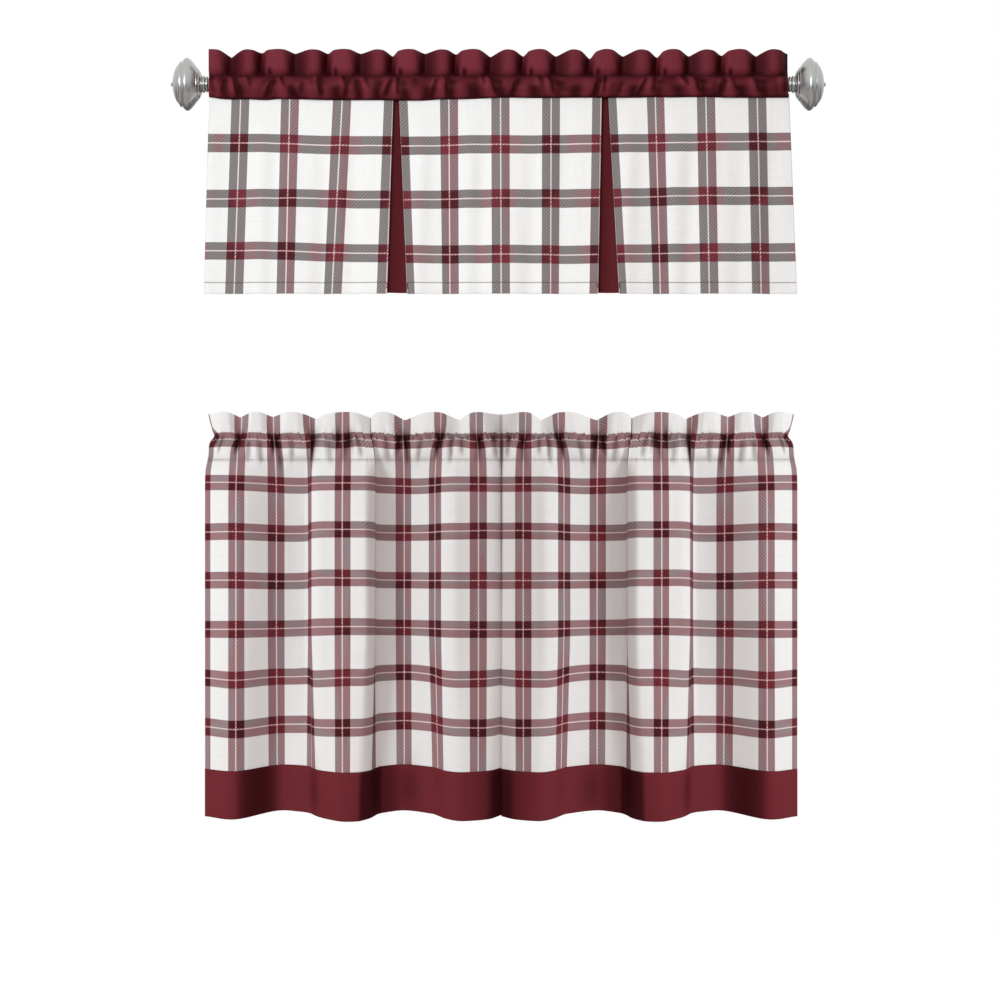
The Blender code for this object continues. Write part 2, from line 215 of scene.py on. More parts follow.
TIER_TUCKS = table(Tuck,
    (0, 3, 0.7, "soft"), (0.94, 8, 0.6, "soft"), (1.97, 7, 1, "soft"), (3.16, 10, 0.8, "wide"),
    (5, 11, 0.8, "soft"), (6.05, 12, 0.8, "soft"), (7.55, 12, 0.8, "soft"), (8.55, 3, 0.7, "soft"),
)

# A tier's folds: stripes across its cloth, distance across from the outer hem at the gathers,
# where it hangs free and at the lower hem, and how far the cloth comes forward, hung and at
# the lower hem.
Fold = namedtuple("Fold", "stripe across_head across_hung across_hem forward forward_hem")
TIER_FOLDS = table(Fold,
    (0, 3, 0, 0, 3, 1), (1, 55, 47.5, 47, 15, 12), (2, 102, 106, 107, -11, -18),
    (2.75, 140, 147, 145, -19, -14), (2.93, 152, 158, 157, -9, -9), (3.07, 160, 157, 163, 8, -3),
    (3.25, 170, 167, 171, 21.5, 4), (3.65, 189, 189, 190, 24, 14), (4, 206.5, 207, 207, 24.5, 20),
    (4.45, 228, 233, 230, 28.5, 19), (4.62, 236, 244, 238, 28, 15), (4.83, 246, 255, 248, 13, 8),
    (5.17, 249, 254, 257, -3, -4), (5.38, 259, 259, 265, -16, -10), (6, 296, 298, 298, -22, -19),
    (6.8, 343, 335, 341, -10, -7), (7, 354, 345, 350, 1, 0), (7.2, 363, 355, 359, 12, 8),
    (7.45, 376, 371.5, 374, 17.5, 16), (7.7, 390, 388, 389, 14, 18), (8.2, 418, 424, 423, 4, 12),
    (8.55, 443.2, 443.7, 443.7, -1, 1),
)
# How much further in the right tier's stripes hang than the left one's.
Shift = namedtuple("Shift", "stripe across")
RIGHT_TIER_SHIFTS = table(Shift,
    (0, 0), (1, -1), (2, 2), (3, 1.5), (4, -2.5), (5, 0), (6, 1.5), (7, 5), (8, 1), (8.55, 0),
)
TIER_OVERLAP = 1.2  # how far the left tier's inner hem runs on behind the right tier's
TIER_OVERLAP_DEPTH = 4.5
# Down a tier: height, share of the folds' depth, share of the way from the gathered to the
# hung places and on to those at the hem, and how much lower the cloth hangs for each
# millimetre that it comes forward.
Level = namedtuple("Level", "height fold_share hung_share hem_share droop")
TIER_LEVELS = table(Level,
    (-1098, 1, 1, 1, 0.33), (-1026, 1, 1, 0.85, 0.23), (-961, 1, 1, 0.6, 0.22), (-888, 1, 1, 0.3, 0.2),
    (-817, 1, 1, 0, -0.03), (-760, 1, 1, 0, -0.08), (-640, 1, 1, 0, -0.09), (-600, 0.78, 1, 0, -0.06),
    (-566, 0.32, 0.9, 0, 0), (-556, 0.12, 0.8, 0, 0), (-546, 0.06, 0.7, 0, 0), (-528, 0.06, 0.2, 0, 0),
    (-492, 0.12, 0, 0, 0),
)
# How much wider than its share of the cloth each upright stripe shows, as it lies flat on a fold.
STRIPE_SPREAD = (0.10, 0.32, 0.28, -0.15, 0.32, -0.30, 0.26, 0.12, 0.04)
# Where the tiers' gathers squeeze the cloth: stripes across, height, reach across in stripes
# and up and down, share by which it is squeezed, shift away from the outer hem, and painted shade in its
# knots and fold lines.
Pinch = namedtuple("Pinch", "stripe height reach_across reach_up squeeze shift dark")
TIER_PINCHES = table(Pinch,
    (0, -530, 0.22, 8, 0, 5, 0.2), (0, -523, 0.4, 22, 0, 7, 0), (0, -556, 0.35, 16, 0, 4, 0),
    (0.97, -534, 0.3, 14, 0.42, 0, 1), (2, -536, 0.3, 14, 0.15, 0, 0.8),
    (3.1, -534, 0.28, 16, 0.3, 1, 1), (3.84, -531, 0.22, 16, 0.35, 0, 1),
    (4.22, -532, 0.2, 15, 0.35, 0, 1), (5, -536, 0.1, 23, 0, 0, 1), (5, -790, 0.09, 280, 0, 0, 0.8),
    (3.02, -700, 0.07, 173, 0, 0, 0.5), (6, -533, 0.32, 14, 0.1, 0, 0.8),
    (7.02, -534, 0.34, 17, 0.42, 0, 1), (8.02, -534, 0.28, 13, 0.1, 0, 0.8),
    (8.4, -529, 0.12, 7, 0, 0, 0.9), (8.55, -548, 0.08, 27, 0, 0, 1),
    (8.55, -640, 0.06, 147, 0, 0, 0.8), (3.1, -1062, 0.25, 40, 0, 0, 0.45),
    (6.15, -1062, 0.5, 40, 0, 0, 0.45),
)
# Where the checks' rows of cross stripes lie: height, and count of rows down from the first.
Course = namedtuple("Course", "height count")
TIER_COURSES = table(Course,
    (-1040, 6.98), (-961, 6), (-888.3, 5), (-817, 4), (-743.6, 3), (-671.6, 2), (-599.6, 1),
    (TIER_GATHER_LINE, 0), (-528, -0.1), (-492, -0.6),
)
VALANCE_COURSES = table(Course,
    (-330, 3.97), (-251.6, 3), (-171.3, 2), (-88.8, 1), (-6, 0),
)
# How much lower than that the valance's three rows of cross stripes run, at places across.
Sag = namedtuple("Sag", "place first second third")
VALANCE_SAGS = table(Sag,
    (-460, -0.8, 1.2, -2), (-349, -0.6, -0.6, -2.2), (-275, 2.2, -0.4, 0.2), (-197, 3.1, 1.6, 1.9),
    (-113, 3.7, 1.5, 3.3), (-35, 1.3, -0.2, 3.4), (37, 1.8, -0.8, 3.2), (109, 0.7, -0.8, 4.2),
    (197, -0.4, -1.8, 2.8), (274, -1.6, -4.3, 1.5), (349, -2.8, -4.3, 1), (460, -3.4, -4.4, 0.4),
)

# The same for the tiers' six rows, at stripes across.
TierSag = namedtuple("TierSag", "place first second third fourth fifth sixth")
TIER_SAGS = table(TierSag,
    (0.37, -2.5, 0.4, 0.6, 0.3, 1, 1.6), (1.54, -0.9, 0.7, 1.3, -0.2, 2.5, 3.4),
    (2.6, 1.5, 0.8, 0.4, -1.5, 4.9, 3.6), (3.4, -0.3, -2, -2, -3.5, -1.5, -0.3),
    (4.5, -0.2, -1.7, -1.3, -4, -5.2, -3), (5.5, 1, -0.8, -1.3, -2.4, -1.3, -0.8),
    (6.42, 2.6, -0.6, -0.7, -1.5, -1.6, -1), (7.52, 0.8, 0, 1.7, 0, 0, -1.5),
    (8.1, 0.5, -2, 0.9, 0.6, 1.4, 1.2),
)

# How much lower the row at a tier's gather line runs there, at stripes across.
Wave = namedtuple("Wave", "stripe drop")
TIER_GATHER_WAVES = table(Wave,
    (0, 1.5), (0.55, -2.4), (0.97, 0.8), (1.35, -2.2), (2, 1.6), (2.45, -0.6), (2.8, 0.8), (3.1, 1.2),
    (3.4, -1.8), (3.75, 1.5), (4.05, 0.6), (4.45, -3.2), (4.9, 1.6), (5.2, -2.6), (5.85, 3.6), (6.4, 1),
    (6.75, -1.8), (7.02, 0.2), (7.5, -1.2), (8, 1.8), (8.3, -1.5), (8.55, 0.5),
)

# Sections of the two rod pockets: share of the pocket's depth below the stitching, and half
# the distance between its front and back layers.
Layer = namedtuple("Layer", "share half_depth")
VALANCE_POCKET = table(Layer,
    (0, 1.5), (0.1, 4.2), (0.22, 8.4), (0.38, 11), (0.6, 10.6), (0.84, 6.2), (1, 2.8),
)
TIER_POCKET = table(Layer,
    (0, 1.5), (0.2, 5.6), (0.5, 7.8), (0.8, 5.6), (1, 1.4),
)

# The valance pocket's lower edge: place and height.
Edge = namedtuple("Edge", "place height")
POCKET_EDGE = table(Edge,
    (0, -19), (24, -22.6), (60, -22.6), (86, -23.8), (104, -22.2), (182, -23.8), (258, -24),
    (318, -24.6), (348, -22.8), (385, -22.4), (422, -20.8), (452, -20.1), (482, -20.7), (560, -20.2),
    (645, -20.2), (662, -18.8), (693, -19.8), (735, -18.8), (775, -20.2), (868, -20.2),
)

# Creases: place at the upper end, lean to the lower end, where they start and end, half
# width and depth. On the valance's pocket they run over shares of its depth; on a tier they
# run over millimetres below the stitching, with the place in millimetres of cloth. The hollows
# are broad and soft, and lie between the pocket's creases.
Crease = namedtuple("Crease", "place lean start end width depth")
POCKET_CREASES = table(Crease,
    (3, 6, -0.1, 1, 4, 2), (25, -4, 0.1, 0.8, 3, 1.4), (37, 9, -0.1, 1, 4, 2.6),
    (58, 6, -0.1, 0.6, 3, 1.3), (99, -15, 0.1, 1, 4, 2.4), (107, 8, -0.1, 0.6, 3, 1.6),
    (142, -4, 0.2, 0.8, 4, 1.2), (165, 5, -0.1, 1, 4, 2.6), (201, 4, -0.1, 0.5, 3, 1.8),
    (211, -7, 0, 1, 4, 1.8), (233, 10, -0.1, 0.7, 4, 1.7), (276, -14, 0, 1, 4, 2.4),
    (283, 0, -0.1, 1, 3, 1.8), (309, 2, 0, 0.8, 7, 1.2), (343, -10, 0, 1, 3, 1.8),
    (358, -2, -0.1, 1, 4, 2.4), (411, 3, -0.1, 0.5, 3, 1.8), (421, 11, -0.1, 1, 4, 2.6),
    (466, -13, 0, 1, 4, 2.4), (495, 9, -0.1, 0.7, 4, 1.3), (511, 6, -0.1, 0.9, 4, 2),
    (526, 9, 0.2, 0.8, 7, 1.4), (588, -11, 0, 1, 4, 2.4), (595, -4, -0.1, 1, 3, 2),
    (621, -9, 0.2, 1, 4, 1.1), (658, -17, 0, 1, 3, 2), (669, -5, -0.1, 1, 4, 2.2),
    (708, 14, -0.1, 0.6, 4, 2), (729, 6, -0.1, 0.9, 4, 2.4), (774, -8, 0, 1, 4, 2.2),
    (784, 6, -0.1, 0.8, 4, 1.4), (818, 8, 0, 0.9, 4, 2), (862, 1, -0.1, 1, 4, 1.4),
)
POCKET_HOLLOWS = table(Crease,
    (20, 8, 0, 1.3, 7, 1.6), (48, -6, 0.2, 1.4, 9, 1.6), (88, -8, 0, 1.2, 8, 1.4),
    (122, 10, 0.3, 1.5, 9, 2), (158, 10, 0, 1.2, 7, 1.6), (190, 2, 0.3, 1.4, 11, 1.8),
    (222, 6, 0, 1.3, 7, 1.8), (258, -8, 0.1, 1.3, 9, 1.5), (292, 4, 0, 1.4, 8, 1.8),
    (332, -6, 0.3, 1.5, 10, 1.6), (366, -4, 0, 1.3, 8, 1.8), (394, 6, 0.2, 1.4, 11, 1.5),
    (432, 10, 0, 1.3, 8, 1.9), (458, -10, 0, 1.2, 7, 1.4), (486, 6, 0.3, 1.5, 10, 1.8),
    (520, 8, 0, 1.3, 8, 1.8), (552, -6, 0.3, 1.4, 10, 1.6), (582, -8, 0, 1.3, 7, 1.7),
    (610, -6, 0.2, 1.4, 9, 1.4), (640, -8, 0.3, 1.5, 10, 1.7), (678, -6, 0, 1.3, 7, 1.8),
    (700, 10, 0.3, 1.4, 9, 1.4), (738, 8, 0, 1.3, 9, 2), (764, -8, 0.2, 1.4, 8, 1.5),
    (796, 4, 0.3, 1.5, 10, 1.6), (828, 8, 0, 1.3, 9, 1.8), (854, 0, 0.2, 1.4, 8, 1.3),
)
TIER_CREASES = table(Crease,
    (14, 6, -6, 20, 4, 1), (34, -5, -8, 30, 4, 1.1), (66, 4, -8, 34, 4, 1.6), (76, -3, -12, 26, 3, 1.6),
    (98, -4, 4, 42, 5, 1.3), (116, 5, 2, 46, 5, 1.4), (141, 3, -8, 36, 4, 1.6),
    (152, 6, -6, 60, 4, 1.2), (186, -6, -4, 44, 5, 1.2), (222, 5, -10, 40, 4, 1.7),
    (232, -4, -8, 56, 4, 1.5), (262, 6, -2, 48, 6, 1.1), (300, -5, -6, 42, 5, 1.3),
    (326, 4, -4, 38, 4, 1.2), (360, 3, -20, 60, 3, 2), (368, -6, -10, 44, 4, 1.4),
    (408, 5, -4, 46, 5, 1.3), (431, -5, -8, 36, 4, 1.5), (442, 6, -10, 50, 4, 1.4),
    (476, -6, -2, 44, 5, 1.2), (508, 5, -8, 40, 4, 1.6), (543, -4, -10, 46, 4, 1.6),
    (556, 5, -8, 34, 4, 1.3), (590, -5, -4, 44, 5, 1.2), (612, 4, -10, 40, 4, 1.4),
)

# The valance's panels: places of their side edges at the top and at the hem, and which
# edges are folded back as the sides of a pleat.
Panel = namedtuple("Panel", "name left_top left_hem right_top right_hem pleat_left pleat_right")
PANELS = table(Panel,
    ("valance_panel_left", -437, -445, -161, -170, False, True),
    ("valance_panel_centre", -152, -140, 152, 146, True, True),
    ("valance_panel_right", 162, 178, 433, 445, True, False),
)
# Where each panel's upright stripes lie, at its top and at its hem.
Stripe = namedtuple("Stripe", "top hem")
PANEL_STRIPES = {
    "valance_panel_left": table(Stripe,
        (-467, -475), (-389.5, -400), (-316, -322), (-237, -253), (-161, -171), (-85, -95),
    ),
    "valance_panel_centre": table(Stripe,
        (-229, -216), (-153, -140), (-77.5, -76), (0, 1), (76, 75), (151, 146), (227, 222),
    ),
    "valance_panel_right": table(Stripe,
        (85, 102), (161, 178), (232, 240), (308, 313), (385, 391), (461, 467),
    ),
}
PANEL_FOLD_RADIUS = 2.1 * MM
PANEL_FOLD_TAIL = 13.0 * MM
PANEL_SWAY = 3.5 * MM
PANEL_RIPPLE = 2.0 * MM
SWAY_LENGTH = 168.0 * MM
PANEL_HEM_DEPTH = 15.7 * MM
PANEL_HEM_GAP = 0.8 * MM
HEM_STITCH_GROOVE = 0.35 * MM
PLEAT_TURNED_BACK = 20 * MM  # what a pleat's edge adds to a panel's flat width
INSET_BEHIND = 7.4 * MM
INSET_UNDER_PANEL = 10.0 * MM
INSET_HEM_RISE = 1.5 * MM

# A finial's profile: distance out from the collar's inner end, and radius.
Turned = namedtuple("Turned", "out radius")
FINIAL_PROFILE = table(Turned,
    (0, 10.6), (0.7, 11.5), (1.7, 11.8), (2.7, 11.5), (3.4, 10.6), (3.9, 9.8), (4.4, 11.2), (5.2, 12.5),
    (6.2, 13), (7.2, 12.6), (8, 11.8), (8.6, 11.3), (9.2, 12.2), (10.2, 15.6), (11.6, 18.8), (13, 21.2),
    (13.8, 21.4), (14.4, 22.8), (15.6, 24.8), (16.4, 24.8), (19, 28.4), (22, 32.2), (25.8, 36.4),
    (28.6, 38.7), (30.2, 39.4), (31.8, 39.5), (33.6, 38.8), (35.4, 37.4), (37, 35.6), (37.9, 33.9),
    (38.6, 33.6), (39.6, 34), (40.8, 33.7), (42.2, 32.4), (43.5, 30.2), (44, 28.9), (45.4, 28),
    (47.4, 25.2), (49.4, 21), (51.2, 15.5), (52.4, 9.5), (52.9, 5.2), (53.4, 3.4), (54.8, 2.9),
    (55.7, 1.8), (56, 0),
)
FINIAL_STEPS = 112
FINIAL_SHARP_EDGE = 50  # degrees
FINIAL_BORE = 8.3 * MM
FINIAL_BORE_DEPTH = 10.3 * MM
ROD_LEFT_END = -438.5 * MM
ROD_RIGHT_END = 432.0 * MM

# Stitches: distance from one to the next, length and thickness
STITCH_SPACING = 3.1 * MM
STITCH_LENGTH = 2.6 * MM
TIER_STITCH_WIDTH = 0.6 * MM
PANEL_STITCH_WIDTH = 0.9 * MM


def column(rows, name):
    """One column of a table, as an array."""
    return np.array([getattr(row, name) for row in rows], float)


def blend(first, last, share):
    """A value on the straight way from first to last."""
    return first + (last - first) * share


def smooth(share):
    """An even start and stop between 0 and 1."""
    held = np.clip(share, 0.0, 1.0)
    return held * held * (3 - 2 * held)


def near(place, centre, reach):
    """1 at a centre, and next to nothing a few reaches away from it."""
    return np.exp(-((place - centre) / reach) ** 2)


def in_gap(knots, place):
    """Which gap between knots each place is in, the gap's length and the place's share of it."""
    start = np.clip(np.searchsorted(knots, place, side="right") - 1, 0, len(knots) - 2)
    span = knots[start + 1] - knots[start]
    return start, span, np.clip((place - knots[start]) / span, 0.0, 1.0)


def on_curve(rows, name, place):
    """A column's values at places along the rows' first column, on a smooth curve."""
    knots, values = column(rows, rows[0]._fields[0]), column(rows, name)
    order = np.arange(len(rows))
    before, after = np.maximum(order - 1, 0), np.minimum(order + 1, len(rows) - 1)
    slopes = (values[after] - values[before]) / (knots[after] - knots[before])
    start, span, share = in_gap(knots, place)
    square, cube = share ** 2, share ** 3
    return ((2 * cube - 3 * square + 1) * values[start]
            + (cube - 2 * square + share) * span * slopes[start]
            + (3 * square - 2 * cube) * values[start + 1]
            + (cube - square) * span * slopes[start + 1])


def ruffle(tucks, place, down):
    """How far out of its tucks a ruffle is, 0 to 1, and its top edge's dip; down is 1 at the stitching."""
    start, _, share = in_gap(column(tucks, "place"), place)
    dips = column(tucks, "dip")
    kinds = np.array([LOBES[tuck.kind] for tuck in tucks], float)[start]
    rise, fall = (blend(kinds[..., top], kinds[..., top + 1], down) for top in (0, 2))
    plateau = smooth(share / rise) * smooth((1 - share) / fall)
    crest = np.sin(np.pi * share)
    out = LOBE_PLATEAU * plateau + (1 - LOBE_PLATEAU) * crest
    dip = (1 - DIP_ARCH * crest - (1 - DIP_ARCH) * plateau) * blend(dips[start], dips[start + 1], share)
    return out * column(tucks, "next_lobe")[start], dip * MM


def troughs(creases, place, down):
    """How far back a set of creases presses the cloth."""
    pressed = np.zeros(np.broadcast(place, down).shape)
    for crease in creases:
        along = (down - crease.start) / (crease.end - crease.start)
        centre = crease.place + crease.lean * np.clip(along, 0.0, 1.0)
        reach = smooth(4 * along) * smooth(2.6 * (1 - along))
        away = (place - centre) / crease.width
        pressed += crease.depth * reach * (near(away, 0, 1) - CREASE_RIDGE * near(away, -1.8, 1))
    return pressed * MM


def lobe_shade(place, down):
    """Painted shade across the valance's ruffle lobes, and where the wide lobes' dents are."""
    start, _, share = in_gap(column(VALANCE_TUCKS, "place"), place)
    share = np.clip(0.5 + (share - 0.5) * (0.92 + 0.28 * down), 0.0, 1.0)
    wide = np.array([tuck.kind == "wide" for tuck in VALANCE_TUCKS])[start]
    shades = [np.interp(share, *np.array(LOBE_SHADES[kind]).T) for kind in ("wide", "tapered")]
    return np.where(wide, *shades), wide * near(share, DENT_PLACE, 0.08)


def waves(rows, place):
    """The sum of a few waves."""
    return sum(row.size * np.sin(place * row.turn + row.start) for row in rows)


def puckers(place, reach):
    """Fine unevenness along a row of stitching, in metres; reach is 1 on the row."""
    return PUCKER_DEPTH * waves(PUCKER_WAVES, place) * reach


def put(name, data):
    """A new object in the scene."""
    made = bpy.data.objects.new(name, data)
    bpy.context.scene.collection.objects.link(made)
    return made


def plain_mesh(blank):
    """The mesh that an object's modifiers give; the object itself goes."""
    made = bpy.data.meshes.new_from_object(blank.evaluated_get(bpy.context.evaluated_depsgraph_get()))
    blank.modifiers.clear()
    bpy.data.objects.remove(blank)
    return made


def cloth(name, rows, finish, thickness, turned=False):
    """A sheet through rows of points, with a UV map in metres along its threads.

    A row is across, depth, height, the place in the weave across and down, and a painted shade,
    0 to 1, that darkens the cloth's colour in its tucks, creases and folds turned from the light.
    Turned sheets run from right to left.
    """
    grid = np.array([np.stack(np.broadcast_arrays(*row), axis=-1) for row in rows])
    if turned:
        grid = grid[:, ::-1]
    order = np.arange(grid[..., 0].size).reshape(grid.shape[:2])
    faces = np.stack([order[:-1, :-1], order[1:, :-1], order[1:, 1:], order[:-1, 1:]], axis=-1)
    faces = faces.reshape(-1, 4)
    mesh = bpy.data.meshes.new(name)
    mesh.from_pydata(grid[..., :3].reshape(-1, 3).tolist(), [], faces.tolist())
    weave = grid[..., 3:5].reshape(-1, 2)[faces.ravel()]
    mesh.uv_layers.new(name="Weave").data.foreach_set("uv", weave.astype(np.float32).ravel())
    # Painted shade, stored on the points for the finishes to darken the colour with.
    painted_shade = np.clip(grid[..., 5], 0.0, 1.0).astype(np.float32).ravel()
    mesh.attributes.new("PaintedShade", 'FLOAT', 'POINT').data.foreach_set("value", painted_shade)
    mesh.shade_smooth()
    mesh.materials.append(finish)
    piece = put(name, mesh)
    solid = piece.modifiers.new("Cloth thickness", 'SOLIDIFY')
    solid.thickness = thickness
    solid.offset = 0.0
    return piece


def section_rows(pocket_rows, ruffle_rows):
    """A heading's section, from the back pocket over the ruffle to the front pocket."""
    rising = np.concatenate([
        np.linspace(0.0, RUFFLE_TOP_TURN, ruffle_rows),
        RUFFLE_TOP_TURN + (1 - RUFFLE_TOP_TURN) * np.sin(np.linspace(0, math.pi / 2, 5)[1:]),
    ])
    rows = [(BACK, "pocket", share) for share in np.linspace(0.92, 0.0, pocket_rows)[:-1]]
    rows += [(BACK, "ruffle", share) for share in rising]
    rows += [(FRONT, "ruffle", share) for share in rising[-2::-1]]
    rows += [(FRONT, "pocket", share) for share in np.linspace(0.0, 1.0, pocket_rows + 6)[1:]]
    return rows


def ruffle_gap(share):
    """Half the distance between a ruffle's layers, closing round its top fold."""
    closing = np.clip((share - RUFFLE_TOP_TURN) / (1 - RUFFLE_TOP_TURN), 0.0, 1.0)
    return RUFFLE_HALF_GAP * math.sqrt(1 - closing ** 2)


def ruffle_wave(out, share):
    """How far forward the ruffle stands at a share of its height."""
    held = STITCH_SHARE + (1 - STITCH_SHARE) * (1 - (1 - share) ** RUFFLE_BULGE)
    held += LOBE_SAG * near(share, 0.24, 0.16)
    return (out * (RUFFLE_FORWARD + RUFFLE_BACK) - RUFFLE_BACK) * held


def valance_heading(finish):
    """The gathered strip: its ruffle, and its pocket drawn tight round the rod."""
    place = np.linspace(0.0, VALANCE_TUCKS[-1].place, HEADING_COLUMNS)
    rumple = waves(RUMPLE_WAVES, place) / 2.4
    rows = []
    for side, zone, share in section_rows(*VALANCE_SECTION):
        down = 1 - share if zone == "ruffle" else 1.0
        out, dip = ruffle(VALANCE_TUCKS, place, down)
        if zone == "ruffle":
            height = VALANCE_STITCH + share * (VALANCE_TOP - dip - VALANCE_STITCH)
            wave = ruffle_wave(out, share) + puckers(place, math.exp(-share / 0.18))
            across_shade, dent = lobe_shade(place, down)
            hollow = dent * near(share, 0.16, 0.16)
            depth = side * ruffle_gap(share) - wave + LOBE_DENT * hollow
            thread = share * (VALANCE_TOP - VALANCE_STITCH)
            # Painted shade: darker across each lobe where it turns from the light, in the wide lobes' dents,
            # along the stitching and along the top fold.
            shade = across_shade + 0.9 * hollow + math.exp(-share / 0.06) + 0.5 * (share > 0.985)
        else:
            height = blend(VALANCE_STITCH, on_curve(POCKET_EDGE, "height", place) * MM, share)
            half = on_curve(VALANCE_POCKET, "half_depth", share) * MM
            half = half + POCKET_PUCKER * (out + 0.7 * rumple) * math.sin(math.pi * share)
            pressed = troughs(POCKET_CREASES + POCKET_HOLLOWS, place, share)
            held = ruffle_wave(out, 0.0) * math.exp(-share / 0.1)
            room = np.sqrt(np.clip(ROD_ROOM ** 2 - height ** 2, 0.0, None))
            depth = (side * np.maximum(half - pressed, room) - held
                     - puckers(place, math.exp(-share / 0.15)))
            thread = share * (VALANCE_SEAM - VALANCE_STITCH)
            # Painted shade: an even base on the pocket, darker in its creases, lighter toward their ridges,
            # changing with the rumples, with dark lines at the stitching and along the lower edge.
            shade = (PLAIN_SHADE + pressed / POCKET_SHADE_DEPTH - 0.22 * rumple
                     + 0.6 * math.exp(-share / 0.05) + 0.7 * smooth(7 * share - 6))
        rows.append((HEADING_LEFT + place * MM, depth, height, place * MM, thread, shade))
    return cloth("valance_ruffled_heading", rows, finish, PLAIN_THICKNESS)


def sway(across, height):
    """How far forward the valance's panels swing, nothing at the top and most at the hem."""
    share = (PANEL_TOP - height) / (PANEL_TOP - PANEL_HEM)
    turn = 2 * np.pi * across / SWAY_LENGTH
    ripple = np.sin(2.7 * turn + 0.8) + 0.6 * np.sin(4.3 * turn + 2.0 + 1.5 * share)
    return PANEL_SWAY * share * np.cos(turn) + PANEL_RIPPLE * smooth(2.5 * share) * ripple


def panel_sides(panel, height):
    """Places of a panel's two side edges at a height, and that height's share of the way to the hem."""
    down = (PANEL_TOP - height) / (PANEL_TOP - PANEL_HEM)
    return (blend(panel.left_top, panel.left_hem, down) * MM,
            blend(panel.right_top, panel.right_hem, down) * MM, down)


def turned_edge(radius, tail, points, lift=0.0):
    """An edge turned back: distances in from the fold's middle, behind, and cloth from its start."""
    angle = np.linspace(0, math.pi, points)[1:]
    flat = np.linspace(0, tail, 6)[1:]
    return np.concatenate([
        radius * np.array([-np.sin(angle), 1 - np.cos(angle), angle]),
        np.array([flat, 2 * radius + lift * flat, radius * math.pi + flat]),
    ], axis=1)


def hem_rows(top, hem, step):
    """Rows of a sheet with its hem turned up behind: height, distance behind, cloth from the top."""
    seam = PANEL_HEM_STITCH + np.linspace(-1.8, 1.8, 7) * MM
    heights = np.sort(np.concatenate([np.linspace(top, hem, round((top - hem) / step)), seam]))[::-1]
    rows = [(height, 0.0, top - height) for height in heights]
    rows += [(hem + rise, behind, top - hem + length)
             for rise, behind, length in turned_edge(PANEL_HEM_GAP, PANEL_HEM_DEPTH, 6).T]
    return rows


def stripe_count(name, across, down):
    """Stripes of the check at a place across a panel, down from 0 at its top to 1 at its hem."""
    stripes = PANEL_STRIPES[name]
    places = [blend(stripe.top, stripe.hem, down) * MM for stripe in stripes]
    return np.interp(across, places, np.arange(len(stripes), dtype=float))


def course_count(courses, sags, place, level):
    """Rows of the check's cross stripes at places on a sheet at one level, on their uneven run."""
    names = sags[0]._fields
    knots = [course for course in courses if course.count in range(len(names))]
    drops = [on_curve(sags, names[int(knot.count)], place) * (knot.count > 0) for knot in knots]
    row = np.interp(level, [knot.height for knot in knots], np.arange(len(knots)))
    start = min(int(row), len(knots) - 2)
    return on_curve(courses, "count", level + blend(drops[start], drops[start + 1], row - start))


def valance_panel(panel, finish):
    """One checked panel, with its pleat edges folded back and its hem turned up."""
    inward, back, turned = turned_edge(PANEL_FOLD_RADIUS, PANEL_FOLD_TAIL - PANEL_FOLD_RADIUS, 9, 0.03)
    inward, turned = PANEL_FOLD_RADIUS + inward, turned / VALANCE_CHECK.across
    rows = []
    for height, behind, length in hem_rows(PANEL_SEWN_TOP, PANEL_HEM, PANEL_ROW):
        left, right, down = panel_sides(panel, height)
        across = np.linspace(left + PANEL_FOLD_RADIUS * panel.pleat_left,
                             right - PANEL_FOLD_RADIUS * panel.pleat_right, PANEL_COLUMNS)
        count = stripe_count(panel.name, across, down)
        depth = np.full_like(across, behind)
        if panel.pleat_left:
            across = np.concatenate([(left + inward)[::-1], across])
            depth = np.concatenate([(back - behind)[::-1], depth])
            count = np.concatenate([(count[0] - turned)[::-1], count])
        if panel.pleat_right:
            across = np.concatenate([across, right - inward])
            depth = np.concatenate([depth, back - behind])
            count = np.concatenate([count, count[-1] + turned])
        groove = HEM_STITCH_GROOVE * near(height, PANEL_HEM_STITCH, 1.6 * MM) * (behind == 0)
        uneven = puckers(across / MM, 0.5 * near(height, PANEL_HEM_STITCH, 7 * MM))
        level = PANEL_HEM if behind else height
        courses = course_count(VALANCE_COURSES, VALANCE_SAGS, across / MM, level / MM)
        if behind:
            courses = courses + (length - (PANEL_SEWN_TOP - PANEL_HEM)) / VALANCE_CHECK.down
        # Painted shade in the groove along the hem stitching.
        seam_shade = 0.5 * near(height, PANEL_HEM_STITCH, 0.8 * MM) * (behind == 0)
        rows.append((across, depth + groove + uneven - sway(across, height), height,
                     count * VALANCE_CHECK.across, courses * VALANCE_CHECK.down, seam_shade))
    return cloth(panel.name + "_cloth", rows, finish, CHECK_THICKNESS)


def pleat_inset(name, left_panel, right_panel, finish):
    """The plain strip in the opening pleat between two panels, with its own turned-up hem."""
    rows = []
    for height, behind, length in hem_rows(PANEL_SEWN_TOP, PANEL_HEM + INSET_HEM_RISE, INSET_ROW):
        left, right = panel_sides(left_panel, height)[1], panel_sides(right_panel, height)[0]
        across = np.linspace(left - INSET_UNDER_PANEL, right + INSET_UNDER_PANEL, INSET_COLUMNS)
        # Painted shade: an even base, darker near the left panel's edge, which shades the inset.
        rows.append((across, INSET_BEHIND + behind - sway(across, height), height, across, length,
                     PLAIN_SHADE + 0.5 * np.exp(-(across - left) / (4 * MM))))
    return cloth(name, rows, finish, PLAIN_THICKNESS)


